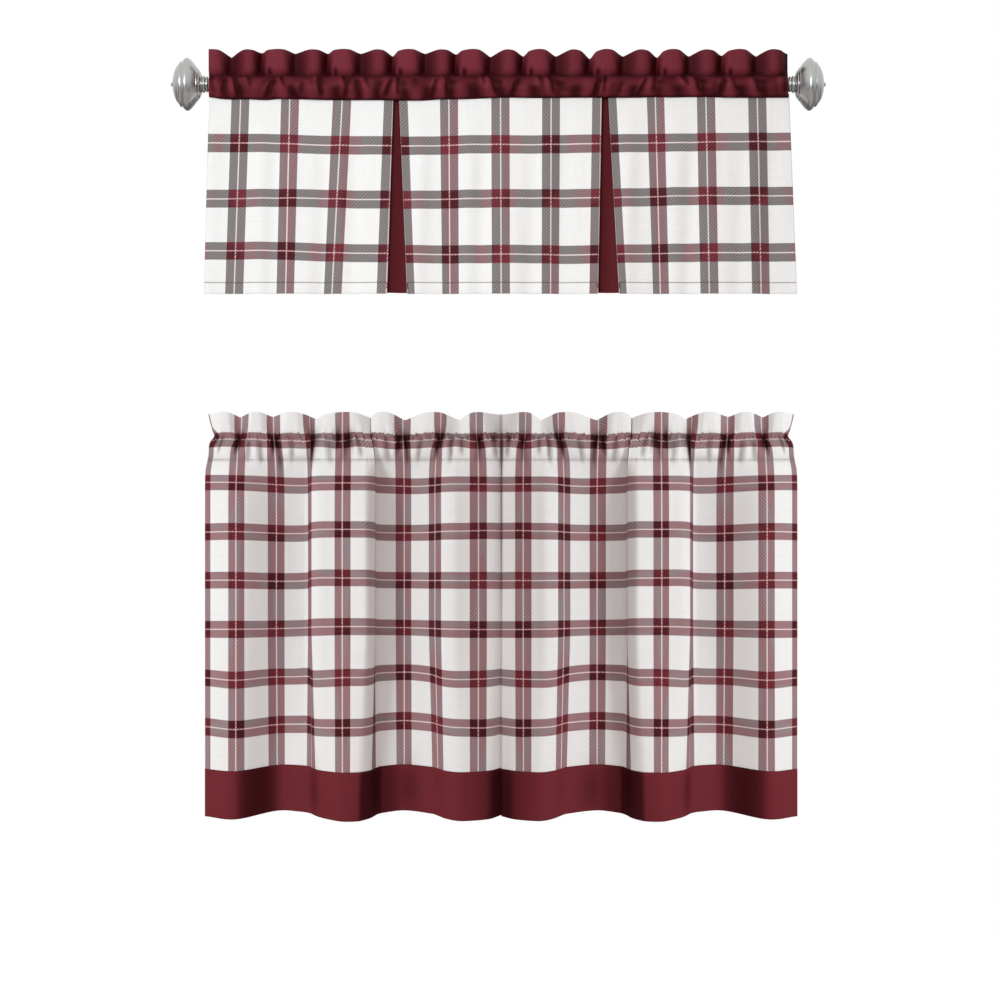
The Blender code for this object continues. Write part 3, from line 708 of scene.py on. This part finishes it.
def tier_place(stripe, height, hand):
    """Where a tier's cloth hangs: across, and how far forward, at a stripe and a height."""
    level = height / MM
    fold_share, hung_share, hem_share = (on_curve(TIER_LEVELS, name, level)
                                         for name in ("fold_share", "hung_share", "hem_share"))
    head, hung, hem, forward_hung, forward_hem = (on_curve(TIER_FOLDS, name, stripe)
                                                  for name in Fold._fields[1:])
    across = blend(head, hung, hung_share) + (hem - hung) * hem_share
    for pinch in TIER_PINCHES:
        held = near(stripe, pinch.stripe, pinch.reach_across) * near(level, pinch.height, pinch.reach_up)
        centre = np.interp(pinch.stripe, stripe, across)
        across = across + held * (pinch.shift - pinch.squeeze * (across - centre))
    forward = blend(forward_hung, forward_hem, hem_share) * fold_share
    if hand == RIGHT:
        across = across + on_curve(RIGHT_TIER_SHIFTS, "across", stripe)
    else:
        inner = near(stripe, TIER_WIDTH, 0.14)
        across = across + TIER_OVERLAP * inner
        forward = forward - TIER_OVERLAP_DEPTH * inner
    return TIER_MIDDLE + hand * (TIER_REACH - across) * MM, forward * MM


def tier_stripes(stripe, height):
    """Where in the weave a place across a tier lies, with each upright stripe as wide as it shows."""
    share = np.array(STRIPE_SPREAD + (0.0,))[np.rint(stripe).astype(int)]
    spread = stripe - share * np.sin(2 * np.pi * stripe) / (2 * np.pi)
    turned_back = TIER_EDGE_TURN * near(stripe, 0, 0.2) * smooth((height - TIER_STITCH) / (14 * MM))
    return spread * TIER_CHECK.across + turned_back


def gather_count(stripe, level):
    """Share of a row by which the check runs lower round a tier's gather line."""
    drop = on_curve(TIER_GATHER_WAVES, "drop", stripe) * MM
    return drop / TIER_CHECK.down * near(level, TIER_GATHER_LINE, GATHER_REACH)


def tier_shade(stripe, height, across, forward):
    """Painted shade on a tier's cloth: in its pinches, and where a fold turns away from the outer hem and
    the lamp on that side.
    """
    dark = np.zeros_like(stripe)
    for pinch in TIER_PINCHES:
        dark += pinch.dark * (near(stripe, pinch.stripe, 0.6 * pinch.reach_across)
                              * near(height / MM, pinch.height, 0.9 * pinch.reach_up))
    run = np.abs(np.gradient(across))
    fall = np.clip(-np.gradient(forward), 0.0, None)
    return dark, smooth(fall / np.hypot(run, fall) / 0.62)


def tier_front(stripe, height, hand):
    """A row of a tier's front: across, depth, height with its droop, swing forward and creases."""
    place = stripe * TIER_CHECK.across / MM
    below = (TIER_STITCH - height) / MM
    share = np.clip((TIER_STITCH - height) / (TIER_STITCH - TIER_LOWER_STITCH), 0.0, 1.0)
    half = on_curve(TIER_POCKET, "half_depth", share) * MM
    out = ruffle(TIER_TUCKS, stripe, 1.0)[0]
    across, forward = tier_place(stripe, height, hand)
    pressed = TIER_CREASE_GAIN * troughs(TIER_CREASES, place, below)
    lower = near(height, TIER_LOWER_STITCH, 6 * MM)
    fine = puckers(place, TIER_PUCKER * np.exp(-below / 8.0) + LOWER_STITCH_PUCKER * lower)
    held = ruffle_wave(out, 0.0) * np.exp(-below / 4.0)
    droop = on_curve(TIER_LEVELS, "droop", height / MM)
    pulled = TUCK_PULL * (1 - out) * smooth(below / 8) * near(below, 8, 16)
    low = height - droop * forward + pulled + 0.9 * fine
    return across, pressed - half - held - fine - forward, low, forward, pressed


def tier_cloth(word, hand, finish):
    """A tier's check cloth in one length: back pocket, ruffle, front pocket and drop."""
    stripe = np.linspace(0.0, TIER_WIDTH, TIER_COLUMNS)
    place = stripe * TIER_CHECK.across / MM
    top_count = on_curve(TIER_COURSES, "count", TIER_TOP / MM)
    rows = []

    def add(across, depth, height, count, forward, pressed=0.0):
        # Painted shade: in the pinches, where folds turn from the outer lamp, in a soft line along the lower
        # stitching and in the creases.
        dark, turned = tier_shade(stripe, height, across, forward)
        seam_shade = 0.30 * near(height, TIER_LOWER_STITCH, 2 * MM)
        fold_shade = TIER_FOLD_SHADE * turned * smooth((8.1 - stripe) / 0.5)
        shade = dark + fold_shade + seam_shade + pressed / TIER_SHADE_DEPTH
        rows.append((across, depth, height, tier_stripes(stripe, height), count * TIER_CHECK.down, shade))

    for side, zone, share in section_rows(*TIER_SECTION):
        out, dip = ruffle(TIER_TUCKS, stripe, 1 - share if zone == "ruffle" else 1.0)
        if zone == "ruffle":
            height = TIER_STITCH + share * (TIER_TOP - dip - TIER_STITCH)
            across, forward = tier_place(stripe, height, hand)
            fine = puckers(place, TIER_PUCKER * math.exp(-share / 0.2))
            wave = ruffle_wave(out, share) + fine - troughs(TIER_CREASES, place, -share * 36)
            level = blend(TIER_STITCH, TIER_TOP, share) / MM
            count = on_curve(TIER_COURSES, "count", level) - gather_count(stripe, level)
            add(across, side * ruffle_gap(share) - wave - forward, height + 0.9 * fine,
                count if side == FRONT else 2 * top_count - count, forward)
        elif side == BACK:
            height = blend(TIER_STITCH, TIER_LOWER_STITCH, share)
            across, forward = tier_place(stripe, height, hand)
            half = on_curve(TIER_POCKET, "half_depth", share) * MM
            held = ruffle_wave(out, 0.0) * math.exp(-share / 0.12)
            count = on_curve(TIER_COURSES, "count", height / MM) - gather_count(stripe, height / MM)
            add(across, half - held - forward, height, 2 * top_count - count, forward)
    for height in np.concatenate([
            np.linspace(TIER_STITCH, TIER_LOWER_STITCH, TIER_POCKET_ROWS)[1:],
            np.linspace(TIER_LOWER_STITCH, TIER_BAND_TOP - TIER_SEAM_TUCK, TIER_DROP_ROWS)[1:]]):
        across, depth, low, forward, pressed = tier_front(stripe, height, hand)
        count = course_count(TIER_COURSES, TIER_SAGS, stripe, height / MM)
        add(across, depth, low, count - gather_count(stripe, height / MM), forward, pressed)
    return cloth(f"tier_{word}_cloth", rows, finish, CHECK_THICKNESS, hand == RIGHT)


def tier_band(word, hand, finish):
    """A tier's plain band: two layers folded at the hem, with the check cloth sewn in between."""
    stripe = np.linspace(0.0, TIER_WIDTH, TIER_COLUMNS)
    half = BAND_HALF_DEPTH
    drops = np.linspace(0.0, TIER_BAND_TOP - TIER_HEM - half, BAND_ROWS)
    layer = [(half * (0.62 + 0.38 * smooth(drop / (5 * MM))), TIER_BAND_TOP - drop) for drop in drops]
    section = [(BACK * depth, height) for depth, height in layer]
    section += [(half * math.cos(angle), TIER_HEM + half - half * math.sin(angle))
                for angle in np.linspace(0, math.pi, 7)[1:-1]]
    section += [(FRONT * depth, height) for depth, height in layer[::-1]]
    rows = []
    for order, (depth, height) in enumerate(section):
        across, forward = tier_place(stripe, height, hand)
        # Painted shade on the band: in the pinches, and where its folds turn from the outer lamp.
        dark, turned = tier_shade(stripe, height, across, forward)
        rows.append((across, depth - TIER_POCKET[-1].half_depth * MM - forward,
                     height - on_curve(TIER_LEVELS, "droop", height / MM) * forward,
                     stripe * TIER_CHECK.across, order * BAND_ROW, dark + BAND_FOLD_SHADE * turned))
    return cloth(f"tier_{word}_hem_band", rows, finish, BAND_LAYER_THICKNESS, hand == LEFT)


def finial(name, place, hand, finish):
    """A turned finial: beaded collar, flaring back, rolled rim and stepped dome."""
    outline = [(row.radius * MM, row.out * MM) for row in reversed(FINIAL_PROFILE)]
    outline += [(FINIAL_BORE, 0.0), (FINIAL_BORE, FINIAL_BORE_DEPTH), (0.0, FINIAL_BORE_DEPTH)]
    profile = bpy.data.meshes.new(name + "_profile")
    edges = [(index, index + 1) for index in range(len(outline) - 1)]
    profile.from_pydata([(radius, 0.0, out) for radius, out in outline], edges, [])
    blank = put(name + "_blank", profile)
    turn = blank.modifiers.new("Turned", 'SCREW')
    turn.steps = turn.render_steps = FINIAL_STEPS
    turn.use_merge_vertices = True
    turn.merge_threshold = 0.00001
    mesh = plain_mesh(blank)
    mesh.name = name
    places = np.zeros(len(mesh.vertices) * 3, np.float32)
    mesh.vertices.foreach_get("co", places)
    x, y, out = places.reshape(-1, 3).T
    laid = np.stack([place + hand * out, y, -hand * x], axis=-1)
    mesh.vertices.foreach_set("co", laid.astype(np.float32).ravel())
    mesh.update()
    mesh.shade_smooth()
    mesh.set_sharp_from_angle(angle=math.radians(FINIAL_SHARP_EDGE))
    mesh.materials.clear()
    mesh.materials.append(finish)
    return put(name, mesh)


def feed(tree, node, inputs):
    """Link a node's named or numbered inputs to other nodes' sockets, or set them."""
    for key, value in inputs.items():
        if isinstance(value, bpy.types.NodeSocket):
            tree.links.new(value, node.inputs[key])
        else:
            node.inputs[key].default_value = value


def add_node(tree, kind, inputs=None, **settings):
    """Add a node with its settings, and feed its inputs."""
    node = tree.nodes.new(kind)
    for key, value in settings.items():
        setattr(node, key, value)
    feed(tree, node, inputs or {})
    return node


def maths(tree, operation, *terms):
    """One step of arithmetic on values."""
    return add_node(tree, 'ShaderNodeMath', dict(enumerate(terms)), operation=operation).outputs[0]


def between(tree, value, low, high, out_low=0.0, out_high=1.0):
    """A soft step: a value's way from low to high, as out_low to out_high."""
    return add_node(tree, 'ShaderNodeMapRange', {0: value, 1: low, 2: high, 3: out_low, 4: out_high},
                    interpolation_type='SMOOTHSTEP').outputs[0]


def mixed(tree, factor, first, second, **settings):
    """Two colours mixed; a colour is a socket, or three parts."""
    first, second = (part if isinstance(part, bpy.types.NodeSocket) else (*part, 1.0)
                     for part in (first, second))
    return add_node(tree, 'ShaderNodeMix', {0: factor, 6: first, 7: second}, data_type='RGBA',
                    **settings).outputs[2]


def noise(tree, place, stretch, detail):
    """Noise over coordinates that are stretched along each axis."""
    drawn = add_node(tree, 'ShaderNodeVectorMath', {0: place, 1: stretch}, operation='MULTIPLY')
    return add_node(tree, 'ShaderNodeTexNoise',
                    {"Vector": drawn.outputs[0], "Scale": 1.0, "Detail": detail}).outputs["Fac"]


def new_group(name, kind, takes, gives):
    """A node group with named inputs and outputs: the group, its input and its output nodes."""
    group = bpy.data.node_groups.new(name, kind)
    for label, socket, value in takes:
        made = group.interface.new_socket(name=label, in_out='INPUT', socket_type=socket)
        if value is not None:
            made.default_value = value
    for label, socket in gives:
        group.interface.new_socket(name=label, in_out='OUTPUT', socket_type=socket)
    return group, group.nodes.new('NodeGroupInput').outputs, group.nodes.new('NodeGroupOutput')


def threads_group():
    """Plain weave: its relief, and the unevenness of its yarns."""
    group, takes, gives = new_group("Woven threads", 'ShaderNodeTree', [
        ("Weave", 'NodeSocketVector', None), ("Thread", 'NodeSocketFloat', CHECK_YARN),
    ], [("Height", 'NodeSocketFloat'), ("Slub", 'NodeSocketFloat')])
    parts = add_node(group, 'ShaderNodeSeparateXYZ', {0: takes["Weave"]}).outputs
    turns = maths(group, 'DIVIDE', math.pi, takes["Thread"])
    warp, weft = (maths(group, 'SINE', maths(group, 'MULTIPLY', parts[axis], turns)) for axis in (0, 1))
    crossing = maths(group, 'MULTIPLY', warp, weft)
    slubs = [noise(group, takes["Weave"], stretch, 1.0) for stretch in SLUB_STRETCHES]
    slub = maths(group, 'MULTIPLY', maths(group, 'ADD', *slubs), 0.5)
    height = maths(group, 'ADD', maths(group, 'MULTIPLY', crossing, 0.35), slub)
    feed(group, gives, {"Height": height, "Slub": slub})
    return group


def stripe_group():
    """A pair of bands with a line between them, repeated at a pitch along one coordinate."""
    group, takes, gives = new_group("Paired stripe", 'ShaderNodeTree', [
        ("Along", 'NodeSocketFloat', 0.0), ("Pitch", 'NodeSocketFloat', TIER_CHECK.across),
        ("Band", 'NodeSocketFloat', TIER_CHECK.band), ("Line", 'NodeSocketFloat', TIER_CHECK.line),
    ], [("Stripe", 'NodeSocketFloat'), ("Middle", 'NodeSocketFloat')])
    away = maths(group, 'PINGPONG', takes["Along"], maths(group, 'MULTIPLY', takes["Pitch"], 0.5))
    inner = maths(group, 'MULTIPLY', takes["Line"], 0.5)
    outer = maths(group, 'ADD', inner, takes["Band"])
    rise, fall = (between(group, away, maths(group, 'SUBTRACT', edge, STRIPE_BLUR),
                          maths(group, 'ADD', edge, STRIPE_BLUR), first, 1.0 - first)
                  for edge, first in ((inner, 0.0), (outer, 1.0)))
    feed(group, gives, {"Stripe": maths(group, 'MULTIPLY', rise, fall),
                        "Middle": maths(group, 'SUBTRACT', 1.0, rise)})
    return group


def new_finish(name):
    """A material, its node tree and its shader."""
    finish = bpy.data.materials.new(name)
    finish.use_nodes = True
    return finish, finish.node_tree, finish.node_tree.nodes["Principled BSDF"]


def relief(tree, strength, distance, height):
    """A fine relief that only the light shows."""
    return add_node(tree, 'ShaderNodeBump',
                    {"Strength": strength, "Distance": distance, "Height": height}).outputs[0]


def woven(tree, threads, yarn):
    """The cloth's own coordinates, its threads at a yarn's width, and its painted shade."""
    weave = add_node(tree, 'ShaderNodeUVMap', uv_map="Weave").outputs[0]
    laid = add_node(tree, 'ShaderNodeGroup', {"Weave": weave, "Thread": yarn}, node_tree=threads)
    painted_shade = add_node(tree, 'ShaderNodeAttribute', attribute_name="PaintedShade").outputs["Fac"]
    return weave, laid.outputs, painted_shade


def toned(tree, factor, colour, low, high):
    """A colour between a darker and a lighter strength of itself."""
    return mixed(tree, factor, *([min(0.9, strength * part) for part in colour] for strength in (low, high)))


def check_finish(name, check, groups, dyes, twill):
    """Off-white cloth with paired stripes both ways, in a twill that drifts from grey to rose, darkened by
    painted shade.
    """
    threads, stripe = groups
    finish, tree, shader = new_finish(name)
    weave, yarn, painted_shade = woven(tree, threads, CHECK_YARN)
    parts = add_node(tree, 'ShaderNodeSeparateXYZ', {0: weave}).outputs
    (upright, upright_line), (level, level_line) = (add_node(tree, 'ShaderNodeGroup', {
        "Along": parts[axis], "Pitch": pitch, "Band": check.band, "Line": check.line,
    }, node_tree=stripe).outputs.values() for axis, pitch in ((0, check.across), (1, check.down)))
    waver = maths(tree, 'MULTIPLY', noise(tree, weave, (45.0, 45.0, 1.0), 0.5), 0.008)
    diagonal = maths(tree, 'ADD', maths(tree, 'ADD', parts[0], parts[1]), waver)
    wale = between(tree, maths(tree, 'PINGPONG', diagonal, twill.wale), 0.1 * twill.wale, 0.9 * twill.wale)
    start = 0.54 - 0.25 * twill.rose_share
    drifts = [between(tree, noise(tree, weave, (*stretch, 1.0), 0.5), start, start + 0.16)
              for stretch in twill.stretches]
    patch = add_node(tree, 'ShaderNodeMix', {0: level, 2: drifts[0], 3: drifts[1]}).outputs[0]
    twilled = mixed(tree, wale, *(
        mixed(tree, patch, *([min(0.9, strength * part) for part in dye] for dye in (dyes.grey, dyes.rose)))
        for strength in twill.strengths))
    line = maths(tree, 'MAXIMUM', upright_line, level_line)
    ground = mixed(tree, between(tree, yarn["Slub"], 0.35, 0.65), *WHITE_YARNS)
    ground = mixed(tree, line, ground, LINE_YARN)
    either = maths(tree, 'MAXIMUM', upright, level)
    both = maths(tree, 'MULTIPLY', upright, level)
    crossed = mixed(tree, between(tree, noise(tree, weave, (15.0, 15.0, 1.0), 0.5), 0.35, 0.65),
                    toned(tree, wale, dyes.crossing, 0.45, 0.85), toned(tree, wale, dyes.crossing, 1.1, 1.9))
    colour = mixed(tree, both, mixed(tree, either, ground, twilled), crossed)
    colour = mixed(tree, maths(tree, 'MULTIPLY', line, either), colour, mixed(tree, wale, *DOT_YARNS))
    # Painted shade: the colour darkened toward this where the cloth lies in tucks, creases and folds turned
    # from the light.
    shadow = mixed(tree, 1.0, colour, WHITE_SHADOW, blend_type='MULTIPLY')
    ridges = maths(tree, 'MULTIPLY', maths(tree, 'MULTIPLY', either, wale), 0.5)
    feed(tree, shader, {
        "Base Color": mixed(tree, painted_shade, colour, shadow),
        "Roughness": between(tree, yarn["Slub"], 0.3, 0.7, 0.82, 0.95),
        "Sheen Weight": 0.05, "Sheen Roughness": 0.5, "Specular IOR Level": 0.12,
        "Normal": relief(tree, 0.35, 0.0002, maths(tree, 'ADD', yarn["Height"], ridges)),
    })
    return finish


def plain_finish(name, threads, colour, deep, shine):
    """Plain burgundy cloth with a low sheen along its folds, darkened by painted shade."""
    finish, tree, shader = new_finish(name)
    yarn, painted_shade = woven(tree, threads, PLAIN_YARN)[1:]
    lit = mixed(tree, between(tree, yarn["Slub"], 0.32, 0.68), deep, colour)
    feed(tree, shader, {
        # Painted shade: the colour darkened toward this in tucks, creases and folds turned from the light.
        "Base Color": mixed(tree, painted_shade, lit, BURGUNDY_SHADOW),
        "Roughness": between(tree, yarn["Slub"], 0.3, 0.7, shine, shine + 0.1),
        "Specular IOR Level": 0.12, "Specular Tint": (1.0, 0.55, 0.6, 1.0),
        "Normal": relief(tree, 0.3, 0.00015, yarn["Height"]),
    })
    return finish


def metal_finish(name, colour, roughness, stretch):
    """Satin nickel, softly brushed round the turning or along the rod."""
    finish, tree, shader = new_finish(name)
    place = add_node(tree, 'ShaderNodeTexCoord').outputs["Object"]
    brush = noise(tree, place, stretch, 3.0)
    dark = [0.9 * part for part in colour]
    feed(tree, shader, {
        "Base Color": mixed(tree, between(tree, brush, 0.3, 0.7), dark, colour),
        "Roughness": between(tree, brush, 0.3, 0.7, roughness, roughness + 0.08),
        "Metallic": 1.0, "Normal": relief(tree, 0.04, 0.0001, brush),
    })
    return finish


def thread_finish(name, colour):
    """Sewing thread: two twisted plies."""
    finish, tree, shader = new_finish(name)
    place = add_node(tree, 'ShaderNodeTexCoord').outputs["Object"]
    ply = add_node(tree, 'ShaderNodeTexNoise',
                   {"Vector": place, "Scale": 2500.0, "Detail": 1.0}).outputs["Fac"]
    dark = [0.7 * part for part in colour]
    feed(tree, shader, {"Base Color": mixed(tree, ply, dark, colour), "Roughness": 0.6,
                        "Normal": relief(tree, 0.3, 0.0001, ply)})
    return finish


def stitch_tree():
    """A row of stitches along a path: one short rounded stitch, repeated at a spacing."""
    tree, takes, gives = new_group("Row of stitches", 'GeometryNodeTree', [
        ("Path", 'NodeSocketGeometry', None), ("Spacing", 'NodeSocketFloat', STITCH_SPACING),
        ("Length", 'NodeSocketFloat', STITCH_LENGTH), ("Width", 'NodeSocketFloat', TIER_STITCH_WIDTH),
        ("Thread", 'NodeSocketMaterial', None),
    ], [("Stitches", 'NodeSocketGeometry')])
    path = add_node(tree, 'GeometryNodeMeshToCurve', {0: takes["Path"]})
    spaced = add_node(tree, 'GeometryNodeResampleCurve',
                      {"Curve": path.outputs[0], "Length": takes["Spacing"]}, mode='LENGTH')
    bead = add_node(tree, 'GeometryNodeMeshUVSphere', {"Segments": 6, "Rings": 4, "Radius": 0.5})
    size = add_node(tree, 'ShaderNodeCombineXYZ', {0: takes["Length"], 1: takes["Width"], 2: takes["Width"]})
    stitch = add_node(tree, 'GeometryNodeTransform', {"Geometry": bead.outputs[0], "Scale": size.outputs[0]})
    tangent = add_node(tree, 'GeometryNodeInputTangent').outputs[0]
    heading = add_node(tree, 'FunctionNodeAlignRotationToVector', {"Vector": tangent}, axis='X')
    placed = add_node(tree, 'GeometryNodeInstanceOnPoints', {
        "Points": spaced.outputs[0], "Instance": stitch.outputs[0], "Rotation": heading.outputs[0]})
    joined = add_node(tree, 'GeometryNodeRealizeInstances', {0: placed.outputs[0]})
    rounded = add_node(tree, 'GeometryNodeSetShadeSmooth', {"Geometry": joined.outputs[0]})
    coloured = add_node(tree, 'GeometryNodeSetMaterial', {"Geometry": rounded.outputs[0],
                                                          "Material": takes["Thread"]})
    feed(tree, gives, {"Stitches": coloured.outputs[0]})
    return tree


def stitches(name, tree, path, finish, width):
    """One row of stitches through the points of a path, as a plain mesh."""
    mesh = bpy.data.meshes.new(name + "_path")
    mesh.from_pydata(path.tolist(), [(start, start + 1) for start in range(len(path) - 1)], [])
    guide = put(name + "_path", mesh)
    row = guide.modifiers.new("Stitches", 'NODES')
    row.node_group = tree
    values = {"Spacing": STITCH_SPACING, "Length": STITCH_LENGTH, "Width": width, "Thread": finish}
    for socket in tree.interface.items_tree:
        if socket.in_out == 'INPUT' and socket.name in values:
            row[socket.identifier] = values[socket.name]
    made = plain_mesh(guide)
    made.name = name
    return put(name, made)


def tier_stitch_path(hand):
    """The tier's lower row of stitching, on the face of its cloth."""
    stripe = np.linspace(0.02, TIER_WIDTH - 0.02, 420)
    across, depth, height = tier_front(stripe, TIER_LOWER_STITCH, hand)[:3]
    return np.stack([across, depth - CHECK_THICKNESS / 2, height], axis=-1)


def panel_stitch_path(panel):
    """A panel's hem stitching, on the face of its cloth."""
    left, right = panel_sides(panel, PANEL_HEM_STITCH)[:2]
    across = np.linspace(left + 2.5 * MM, right - 2.5 * MM, 200)
    depth = (HEM_STITCH_GROOVE + puckers(across / MM, 0.5) - sway(across, PANEL_HEM_STITCH)
             - CHECK_THICKNESS / 2)
    return np.stack([across, depth, np.full_like(across, PANEL_HEM_STITCH)], axis=-1)


def softbox(name, place, target, width, height, power, lit=()):
    """A soft area light aimed at a point, flagged off from all but the lit pieces where they are named."""
    lamp = bpy.data.lights.new(name, 'AREA')
    lamp.shape = 'RECTANGLE'
    lamp.size = width
    lamp.size_y = height
    lamp.energy = power
    lamp.color = LAMP_COLOUR
    lamp.spread = math.radians(LAMP_SPREAD)
    holder = put(name, lamp)
    holder.location = place
    holder.rotation_euler = (Vector(target) - Vector(place)).to_track_quat('-Z', 'Y').to_euler()
    if lit:
        receivers = bpy.data.collections.new(name + " receivers")
        for piece in lit:
            receivers.objects.link(piece)
        holder.light_linking.receiver_collection = receivers


def studio():
    """A pale floor, soft light from all sides, pure white behind, and the camera face on."""
    scene = bpy.context.scene
    scene.view_settings.view_transform = 'Standard'
    world = bpy.data.worlds.new("Studio")
    scene.world = world
    world.use_nodes = True
    tree = world.node_tree
    lit = tree.nodes["Background"]
    seen = add_node(tree, 'ShaderNodeBackground', {0: (1.0, 1.0, 1.0, 1.0), 1: 1.0})
    ray = add_node(tree, 'ShaderNodeLightPath').outputs
    way = add_node(tree, 'ShaderNodeTexCoord').outputs["Generated"]
    up = add_node(tree, 'ShaderNodeSeparateXYZ', {0: way}).outputs[2]
    sky = mixed(tree, between(tree, up, -0.5, 0.7), *SKY)
    mirrored = mixed(tree, between(tree, up, -0.45, 0.25), *MIRRORED_SKY)
    feed(tree, lit, {0: mixed(tree, ray["Is Glossy Ray"], sky, mirrored), 1: 1.0})
    choice = add_node(tree, 'ShaderNodeMixShader', {0: ray["Is Camera Ray"], 1: lit.outputs[0],
                                                    2: seen.outputs[0]})
    feed(tree, tree.nodes["World Output"], {0: choice.outputs[0]})

    bpy.ops.mesh.primitive_plane_add(size=1.0, location=(0.0, -0.9, -1.45))
    floor = bpy.context.object
    floor.name = "floor"
    floor.scale = (6.0, 3.4, 1.0)
    pale, tree, shader = new_finish("Pale floor")
    ray = add_node(tree, 'ShaderNodeLightPath').outputs
    feed(tree, shader, {"Base Color": (0.9, 0.9, 0.9, 1.0), "Roughness": 0.9,
                        "Emission Color": (1.0, 1.0, 1.0, 1.0), "Emission Strength": ray["Is Camera Ray"]})
    floor.data.materials.append(pale)
    floor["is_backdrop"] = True

    camera = bpy.data.cameras.new("camera")
    camera.sensor_width = 36.0
    camera.lens = CAMERA_LENS
    holder = put("camera", camera)
    holder.location = CAMERA_PLACE
    holder.rotation_euler = (math.pi / 2, 0.0, 0.0)
    scene.camera = holder


def lighting(left_tier, right_tier, others):
    """Each tier lit from its outer side, the valance from in front and above, and a weak fill for all."""
    softbox("left softbox", (-1.35, -1.20, -0.50), (-0.22, 0.0, -0.78), 0.4, 1.2, 6.0, left_tier)
    softbox("right softbox", (1.35, -1.20, -0.50), (0.22, 0.0, -0.78), 0.4, 1.2, 6.0, right_tier)
    softbox("valance softbox", (-1.0, -2.3, 0.25), (0.08, 0.0, -0.22), 0.6, 0.6, 15.0, others)
    softbox("front softbox", (0.0, -2.3, 0.3), (0.0, 0.0, -0.6), 1.6, 0.8, 2.0)


def dress(piece, slot, *nodes):
    """A piece rides on the one body and stands for CAD nodes, which are hidden; slot is not used."""
    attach(piece, "root")
    if nodes:
        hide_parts(*nodes)
    return piece


def main():
    studio()
    groups = threads_group(), stripe_group()
    threads = groups[0]
    tier_finish = check_finish("Tier check", TIER_CHECK, groups, TIER_DYES, TIER_TWILL)
    valance_finish = check_finish("Valance check", VALANCE_CHECK, groups, VALANCE_DYES, VALANCE_TWILL)
    heading_finish = plain_finish("Burgundy heading cloth", threads, (0.165, 0.023, 0.036),
                                  (0.153, 0.020, 0.032), 0.5)
    band_finish = plain_finish("Burgundy band cloth", threads, (0.160, 0.022, 0.028),
                               (0.150, 0.020, 0.026), 0.55)
    finial_finish = metal_finish("Satin nickel finial", (0.52, 0.52, 0.51), 0.27, (900.0, 6.0, 6.0))
    rod_finish = metal_finish("Satin nickel rod", (0.50, 0.50, 0.49), 0.28, (30.0, 900.0, 900.0))
    grey_thread = thread_finish("Grey sewing thread", (0.34, 0.32, 0.32))
    dark_thread = thread_finish("Dark grey sewing thread", (0.13, 0.11, 0.115))

    heading = dress(valance_heading(heading_finish), "burgundy_cloth", "valance_heading")

    tree = stitch_tree()
    for panel in PANELS:
        piece = dress(valance_panel(panel, valance_finish), "check_cloth", panel.name)
        row = dress(stitches(panel.name + "_hem_stitching", tree, panel_stitch_path(panel), dark_thread,
                             PANEL_STITCH_WIDTH), "check_cloth")
        width = (panel.right_hem - panel.left_hem) * MM
        width += PLEAT_TURNED_BACK * (panel.pleat_left + panel.pleat_right)
    for side, left, right in (("left", *PANELS[:2]), ("right", *PANELS[1:])):
        piece = dress(pleat_inset(side + "_pleat_inset_cloth", left, right, band_finish),
                      "burgundy_cloth", "pleat_inset_" + side)

    valance = [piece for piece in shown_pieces() if not piece.name.startswith("tier_")]
    tiers = []
    for word, hand in (("left", LEFT), ("right", RIGHT)):
        drop = dress(tier_cloth(word, hand, tier_finish), "check_cloth",
                     f"tier_{word}_heading", f"tier_{word}_drop")
        band = dress(tier_band(word, hand, band_finish), "burgundy_cloth", f"tier_{word}_band")
        row = dress(stitches(f"tier_{word}_pocket_stitching", tree, tier_stitch_path(hand), grey_thread,
                             TIER_STITCH_WIDTH), "check_cloth")
        tiers.append([drop, band, row])

    for side, place, hand in (("left", ROD_LEFT_END, LEFT), ("right", ROD_RIGHT_END, RIGHT)):
        piece = finial(side + "_finial", place, hand, finial_finish)
        valance.append(dress(piece, "rod_metal", "finial_" + side))
    lighting(*tiers, valance)
    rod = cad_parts["rod"]
    rod.data.materials.clear()
    rod.data.materials.append(rod_finish)


main()
